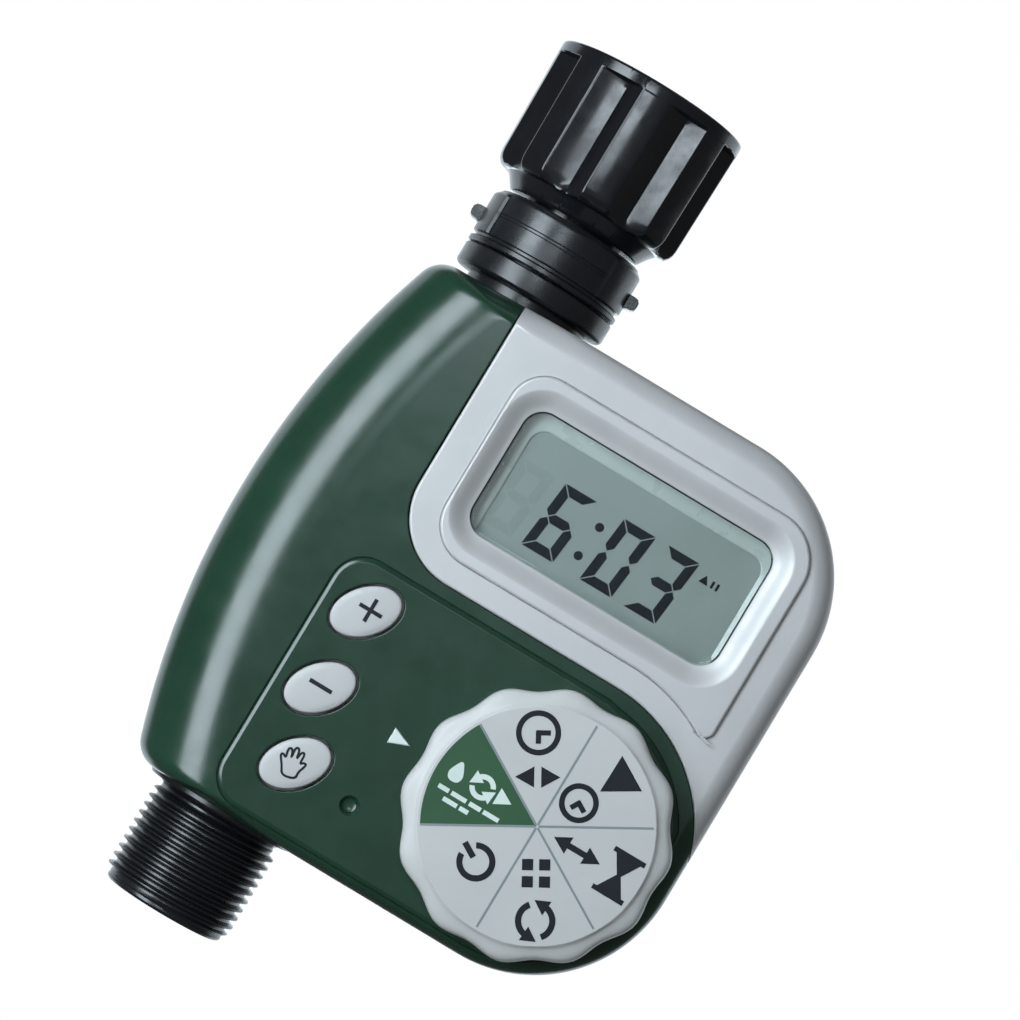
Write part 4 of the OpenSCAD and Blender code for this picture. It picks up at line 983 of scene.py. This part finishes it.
def fluted(rib, floor):
    """The nut's radius by angle: ribs, and flutes whose two sides meet in a crease at the floor's radius."""
    edge = rib - FLUTE_LIP

    def radius(a):
        turn = (math.degrees(a) - FLUTE_FIRST + FLUTE_TURN / 2) % FLUTE_TURN - FLUTE_TURN / 2
        if abs(turn) > FLUTE_END:
            return rib
        if abs(turn) >= FLUTE_HALF:
            return rib - FLUTE_LIP * (1 - smooth((abs(turn) - FLUTE_HALF) / (FLUTE_END - FLUTE_HALF)))
        if turn > FLUTE_CREASE:
            return chord(turn, (FLUTE_CREASE, floor), (FLUTE_HALF, edge))
        along = (turn + FLUTE_HALF) / (FLUTE_CREASE + FLUTE_HALF)
        hollow = FLUTE_HOLLOW * math.sin(math.pi * along) * min(1, (rib - floor) / 2)
        return chord(turn, (-FLUTE_HALF, edge), (FLUTE_CREASE, floor)) - hollow
    return radius


def make_nut():
    """The coupling nut: eight flutes, each with a gentle and a steep side, and an inside thread."""
    starts = [FLUTE_FIRST + FLUTE_TURN * k for k in range(FLUTES)]
    angles = [math.radians(start + step) for start in starts for step in FLUTE_STEPS]
    flutes = [(17.0, 16.9, -11.8), (17.9, 16.7, -11.5), (18.55, 16.5, -10.8), (18.9, 16.45, -10.0),
              (19.05, 16.45, -9.0)]
    flutes += [(19.05 + 0.4 * t, 16.45 + 0.4 * t, -9.0 + 20.6 * t) for t in (0.25, 0.5, 0.75, 0.95, 1.0)]
    flutes += [(19.45, 16.95, 11.75), (19.47, 17.3, 11.85), (NUT_R, 19.2, 11.95), (NUT_R, 19.4, 12.02)]
    rows = [(NUT_BORE_R, NUT_FOOT), (13.6, NUT_FOOT), (14.0, NUT_FOOT + 0.3), (15.4, -12.6), (16.1, -11.9)]
    rows += [(fluted(rib, floor), z) for rib, floor, z in flutes]
    rows += [(NUT_R, 12.12), (NUT_R, 13.8), (19.42, 14.1), (19.25, 14.3), (19.0, NUT_TOP), (14.1, NUT_TOP),
             (13.5, 13.8), "thread", (13.4, 0.5), (13.4, NUT_LIP), (NUT_BORE_R, NUT_LIP)]
    nut = turned_part("coupling_nut_body", rows, angles, (13.3, 0.6, 13.26, NUT_THREAD_R), closed=True)
    finish(nut, "coupling_nut", "coupling_nut")


def make_valve_body():
    """The valve's tube from the inlet socket to the threaded outlet, with the valve chamber on its side."""
    rows = [(0, -65), (BORE_R, -65), (BORE_R, -25), (10.05, -25), (10.05, -16.2), (13, -16.2), (13, -27.3),
            (15.5, -27.3), (15.8, -27.6), (15.8, -30.9), (15.65, -31.3), (15.3, -31.6), (NECK_R, -31.9),
            (NECK_R, TOP - WALL), (SHOULDER_R, TOP - WALL - 0.1), (SHOULDER_R, TOP - WALL - 1.6),
            (TUBE_R, TOP - WALL - 1.6), (TUBE_R, FOOT + WALL + 1.6), (SHOULDER_R, FOOT + WALL + 1.6),
            (SHOULDER_R, FOOT + WALL + 0.1), (NECK_R, FOOT + WALL), (NECK_R, FOOT - 0.1),
            (15.1, FOOT - 0.1), (15.3, FOOT - 0.3), (15.3, -142.6), (15.1, -142.9), (13.0, -143.2),
            (OUTLET_ROOT_R, -143.9), "thread", (12.15, -163.4), (12.15, -163.7), (11.9, -164.05),
            (11.6, -164.2), (8.1, -164.2), (BORE_R, -163.6), (BORE_R, VALVE_Z), (0, VALVE_Z)]
    thread = (-144.2, -163.2, OUTLET_ROOT_R, OUTLET_R)
    body = turned_part("valve_body_casting", rows, even_angles(144), thread)
    axis = (0, VALVE_Z)
    boolean(body, [rod_x("chamber", axis, 13.9, 0, 16), rod_x("flange", axis, 17, 15, 20)], "UNION")
    ring_chamber = rod_x("ring_chamber", axis, 11.5, 13, 21)
    boolean(ring_chamber, [rod_x("seat", axis, 6, 12, 22)])
    cutters = [ring_chamber, rod_x("seat_bore", axis, 4.5, -3, 21),
               rod_x("port", (0, VALVE_Z + 8.8), 2.6, 0, 14)]
    cutters += [rod_x("screw_bore", polar(axis, 14.6, math.radians(a)), 0.95, 15.5, 21, 24)
                for a in range(45, 360, 90)]
    boolean(body, cutters)
    finish(body, "valve_body", material="black_satin")


EAR_MIDDLE, EAR_HALF, EAR_EASE = math.radians(-7), math.radians(41), math.radians(1.6)


def eared(plain, ear):
    """The collar's radius by angle, larger at its two long ears."""
    def radius(a):
        turn = (a - EAR_MIDDLE + math.pi / 2) % math.pi - math.pi / 2
        return plain + (ear - plain) * (1 - smooth((abs(turn) - EAR_HALF) / EAR_EASE + 0.5))
    return radius


def make_collar():
    """The clip collar that holds the swivel tailpiece, with two long ears and two release nubs."""
    side = eared(COLLAR_R, EAR_R)
    rows = [(10.15, COLLAR_TOP), (14.5, COLLAR_TOP), (14.8, -15.92), (14.95, -16.25), (15.1, -16.3),
            (15.3, -16.5), (eared(15.4, 15.55), -16.7), (eared(COLLAR_R, 15.8), -16.95), (side, -17.3),
            (side, -20.3), (eared(15.4, EAR_R), -20.42), (side, -20.54), (side, -20.95),
            (eared(15.42, EAR_R), -21.05), (side, -21.15), (side, -24.6), (eared(15.45, 15.8), -24.85),
            (15.3, -25.0), (15.15, -25.1), (15.15, -25.6), (15.45, -25.72), (15.9, -25.95), (15.9, -26.7),
            (15.6, COLLAR_FOOT), (13.05, COLLAR_FOOT), (13.05, -16.18), (10.15, -16.18)]
    collar = turned_part("retaining_collar_clip", rows, even_angles(240), closed=True)
    nub = ((14.6, -23.6), (15.9, -23.35), (16.5, -23.05), (17.4, -22.95), (17.95, -22.6), (18.1, -21.9),
           (18.05, -21.1), (17.6, -20.5), (16.9, -20.35), (15.9, -20.35), (14.6, -20.1))
    nubs = [prism("nub", [(x * way, z) for x, z in nub], -1.9, 1.9) for way in (-1, 1)]
    boolean(collar, nubs, "UNION")
    finish(collar, "retaining_collar", material="black_satin")


def wire(name, path, r, sides=6, up=(0.3, 0.2, 1.0)):
    """A wire of radius r along points, with flat sides."""
    points = []
    for i, p in enumerate(path):
        along = (Vector(path[min(i + 1, len(path) - 1)]) - Vector(path[max(i - 1, 0)])).normalized()
        u = along.cross(Vector(up)).normalized()
        v = along.cross(u)
        points += [tuple(Vector(p) + r * (math.cos(a) * u + math.sin(a) * v)) for a in even_angles(sides)]
    return make(name, points, loft_faces(sides, len(path)))


def make_strainer():
    """The strainer: a moulded rim and four ribs with a woven mesh cone between them."""
    (wide, z_wide), (narrow, z_narrow) = (6.75, -3.2), (2.35, -14.7)
    rim = [(7.2, -0.6), (8.2, -0.6), (8.2, -2.9), (7.7, -3.0), (7.0, -3.5), (6.4, -3.3), (7.2, -2.7)]
    tip = [(0, -14.3), (2.3, -14.3), (2.5, -14.7), (2.2, -15.0), (0, -15.0)]
    parts = [turned_part("rim", rim, even_angles(72), closed=True), turned_part("tip", tip, even_angles(48))]
    for k, a in enumerate(even_angles(40)):
        ends = [on_ring(wide, a, z_wide), on_ring(narrow, a, z_narrow)]
        parts.append(wire("strand", ends, 0.4 if k % 10 == 0 else 0.13))
    for k in range(1, 22):
        q, z = wide + (narrow - wide) * k / 22, z_wide + (z_narrow - z_wide) * k / 22
        rows = [(q - 0.12, z), (q, z + 0.12), (q + 0.12, z), (q, z - 0.12)]
        parts.append(turned_part("strand_ring", rows, even_angles(48), closed=True))
    finish(join("filter_screen_mesh", parts), "filter_screen")


def yields(obj):
    """Gives a springy piece a mesh of its own."""
    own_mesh(obj)


def make_spring(node, coil_r, wire_r, turns):
    """A compression spring along X, between its CAD node's ends, with its fixed end at the larger X."""
    lo, hi = [corner[0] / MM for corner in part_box(node)]
    steps = 28 * turns
    path = []
    for i in range(steps + 1):
        x = lo + wire_r + (hi - lo - 2 * wire_r) * i / steps
        path.append((x, *polar((0, VALVE_Z), coil_r, math.tau * turns * i / steps)))
    spring = finish(wire(node + "_coil", path, wire_r, 10, (1, 0.01, 0.02)), node)
    yields(spring)


def make_button_domes():
    """The three rubber domes that the buttons press down on their switches."""
    foot_r, foot_y, top_y = 4.4, -24.12, -25.3
    profile = ((2.2, top_y), (2.5, top_y + 0.06), (2.6, top_y + 0.3), (3.3, -24.82), (4.25, -24.75),
               (foot_r, -24.62), (foot_r, foot_y))
    for node, c in BUTTONS.items():
        dome = finish(loft(node + "_dome", [at_y(circle(c, r, 48), y) for r, y in profile]), "button_mat")
        yields(dome)


# ---------------------------------------------------------------- battery tray
def make_tray():
    """The battery drawer: two open troughs and a door that follows the housing's side."""
    y0, y1 = TRAY_LO[1] - TRAY_GROW, TRAY_HI[1] + TRAY_GROW - 1
    z0, z1 = TRAY_LO[2] - TRAY_GROW, TRAY_HI[2] + TRAY_GROW
    tray = block("battery_tray_drawer", TRAY_LO, TRAY_HI)
    boolean(tray, [block("door", (74.4, y0, z0), (OUTSIDE_X, y1, z1)),
                   block("lip", (68.5, y0, z0), (OUTSIDE_X, y1, TRAY_LO[2] + 1))], "UNION")
    boolean(tray, [prism("side", inset_outline(0), -1, BACK_Y)], "INTERSECT")
    x0, x1 = TRAY_LO[0] + 1.4, TRAY_HI[0] - 2.2
    cutters = []
    for z in CELL_Z:
        cutters += [rod_x("trough", (CELL_Y, z), TROUGH_R, x0, x1),
                    block("mouth", (x0, CELL_Y, z - TROUGH_R), (x1, TRAY_HI[1] + 1, z + TROUGH_R)),
                    block("contact_hole", (TRAY_LO[0] - 1, CELL_Y - 3, z - 3), (x0 + 1, CELL_Y + 3, z + 3))]
    cutters.append(block("plate_slot", (x1 - 0.35, CELL_Y - 5, CELL_Z[1]), (x1, TRAY_HI[1] + 1, CELL_Z[0])))
    cutters += [ball_ended_groove("grip", (RIGHT, y), 0.62, -115, -99) for y in (9, 13, 17)]
    boolean(tray, cutters)
    bevel = tray.modifiers.new("edges", "BEVEL")
    bevel.width = 0.22
    bevel.segments = 2
    bevel.limit_method = "ANGLE"
    bevel.angle_limit = math.radians(50)
    applied(tray)
    finish(tray, "battery_tray", "battery_tray")


def ball_ended_groove(name, c, r, z0, z1, n=20):
    """A round groove along Z with ball ends."""
    rings = []
    for k in range(-5, 6):
        a = math.radians(90 * k / 5.3)
        z = (z0 if k < 0 else z1) + r * math.sin(a)
        rings.append([(*polar(c, r * math.cos(a), turn), z) for turn in even_angles(n)])
    return loft(name, rings)


# ---------------------------------------------------------------- build
make_front_cover()
make_rear_cover()
make_bezel()
make_window()
make_lcd()
PLUS, MINUS, HAND, ARM = (5.1, -96.3), (4.45, -112.6), (7.2, -127.0), 2.3
cross = [bar((-ARM, 0), (ARM, 0), 0.74)] + [bar((0, side * 0.37), (0, side * ARM), 0.74) for side in (1, -1)]
make_button("plus_button", [turned(stroke, PLUS, 0) for stroke in cross])
make_button("minus_button", [turned(bar((-ARM, 0), (ARM, 0), 0.78), MINUS, 0)])
make_button("manual_button", hand_icon(HAND))
make_reset()
make_dial()
make_pointer()
make_nut()
make_valve_body()
make_collar()
make_strainer()
make_spring("diaphragm_spring", 3.8, 0.35, 4)
make_spring("plunger_spring", 1.35, 0.22, 5)
make_button_domes()
make_tray()


# ---------------------------------------------------------------- light, floor and camera
COOL = (0.84, 0.96, 1.04)
CENTRE = (0.0173, 0.0, -0.0667)
KEY_LEAN = -32
DIM_WORLD = 0.12
FLOOR_Z, FLOOR_HALF, FLOOR_GLOW = -1.2, 6.0, 0.88
CAMERA_LEAN, EYE, EYE_DISTANCE_MM = 31.05, Vector((0.0173, -0.8, -0.094)), 800.0
SENSOR_MM, PHOTO_PIXELS, PIXEL_MM = 36.0, 1020, 0.1879


def area_light(name, place, size, power, target=CENTRE):
    light = bpy.data.lights.new(name, "AREA")
    light.shape = "RECTANGLE"
    light.size, light.size_y = size
    light.energy = power
    light.color = COOL
    obj = bpy.data.objects.new(name, light)
    bpy.context.scene.collection.objects.link(obj)
    obj.location = place
    obj.visible_camera = False
    obj.rotation_euler = (Vector(target) - Vector(place)).to_track_quat("-Z", "Z").to_euler()
    return obj


def around(azimuth, distance, z):
    """A place round the object: azimuth 0 is in front, and it grows to the right."""
    a = math.radians(azimuth)
    return (0.02 + distance * math.sin(a), -distance * math.cos(a), z)


key = area_light("key_strip", around(-39.5, 0.5, -0.07), (0.215, 0.5), 3.55)
key.rotation_euler.rotate_axis("Z", math.radians(KEY_LEAN))
area_light("rim_left", around(-150, 1.0, -0.05), (1.15, 1.4), 6.0)
area_light("rim_right", around(150, 1.0, -0.05), (1.15, 1.4), 6.0)
area_light("front_card", (0.0, -1.15, -0.05), (0.7, 0.9), 0.4)
area_light("nut_card", (-0.1, -1.0, 0.12), (0.28, 0.11), 1.2, target=(0.0, 0.0, 0.0))
area_light("top_card", (0.02, 0.1, 1.1), (1.2, 0.8), 1.1)
side_card = area_light("side_card", around(100, 1.0, 0.1), (0.45, 1.0), 0.8)
side_card.visible_glossy = False

world = bpy.data.worlds.new("studio")
world.use_nodes = True
bpy.context.scene.world = world
sky = world.node_tree
background = sky.nodes["Background"]
light_path = sky.nodes.new("ShaderNodeLightPath")
brightness = sky.nodes.new("ShaderNodeMapRange")
brightness.inputs["To Min"].default_value = DIM_WORLD
brightness.inputs["To Max"].default_value = 1.0
sky.links.new(light_path.outputs["Is Camera Ray"], brightness.inputs["Value"])
sky.links.new(brightness.outputs["Result"], background.inputs["Strength"])
background.inputs["Color"].default_value = (1, 1, 1, 1)

corners = [(x * FLOOR_HALF, y * FLOOR_HALF, FLOOR_Z) for x, y in ((-1, -1), (1, -1), (1, 1), (-1, 1))]
floor = make("floor", corners, [[0, 1, 2, 3]])
floor.data.materials.append(MATERIALS["studio"])
floor.visible_diffuse = floor.visible_glossy = False
paper = MATERIALS["studio"].node_tree.nodes["Principled BSDF"]
paper.inputs["Emission Color"].default_value = (1, 1, 1, 1)
paper.inputs["Emission Strength"].default_value = FLOOR_GLOW

camera_data = bpy.data.cameras.new("camera")
camera_data.sensor_width = SENSOR_MM
camera_data.lens = SENSOR_MM * EYE_DISTANCE_MM / (PHOTO_PIXELS * PIXEL_MM)
camera = bpy.data.objects.new("camera", camera_data)
bpy.context.scene.collection.objects.link(camera)
forward = (Vector(CENTRE) - EYE).normalized()
lean = math.radians(CAMERA_LEAN)
up = Vector((-math.sin(lean), 0, math.cos(lean)))
right = forward.cross(up).normalized()
up = right.cross(forward)
camera.matrix_world = Matrix.Translation(EYE) @ Matrix((right, up, -forward)).transposed().to_4x4()
bpy.context.scene.camera = camera
bpy.context.scene.view_settings.view_transform = "Standard"
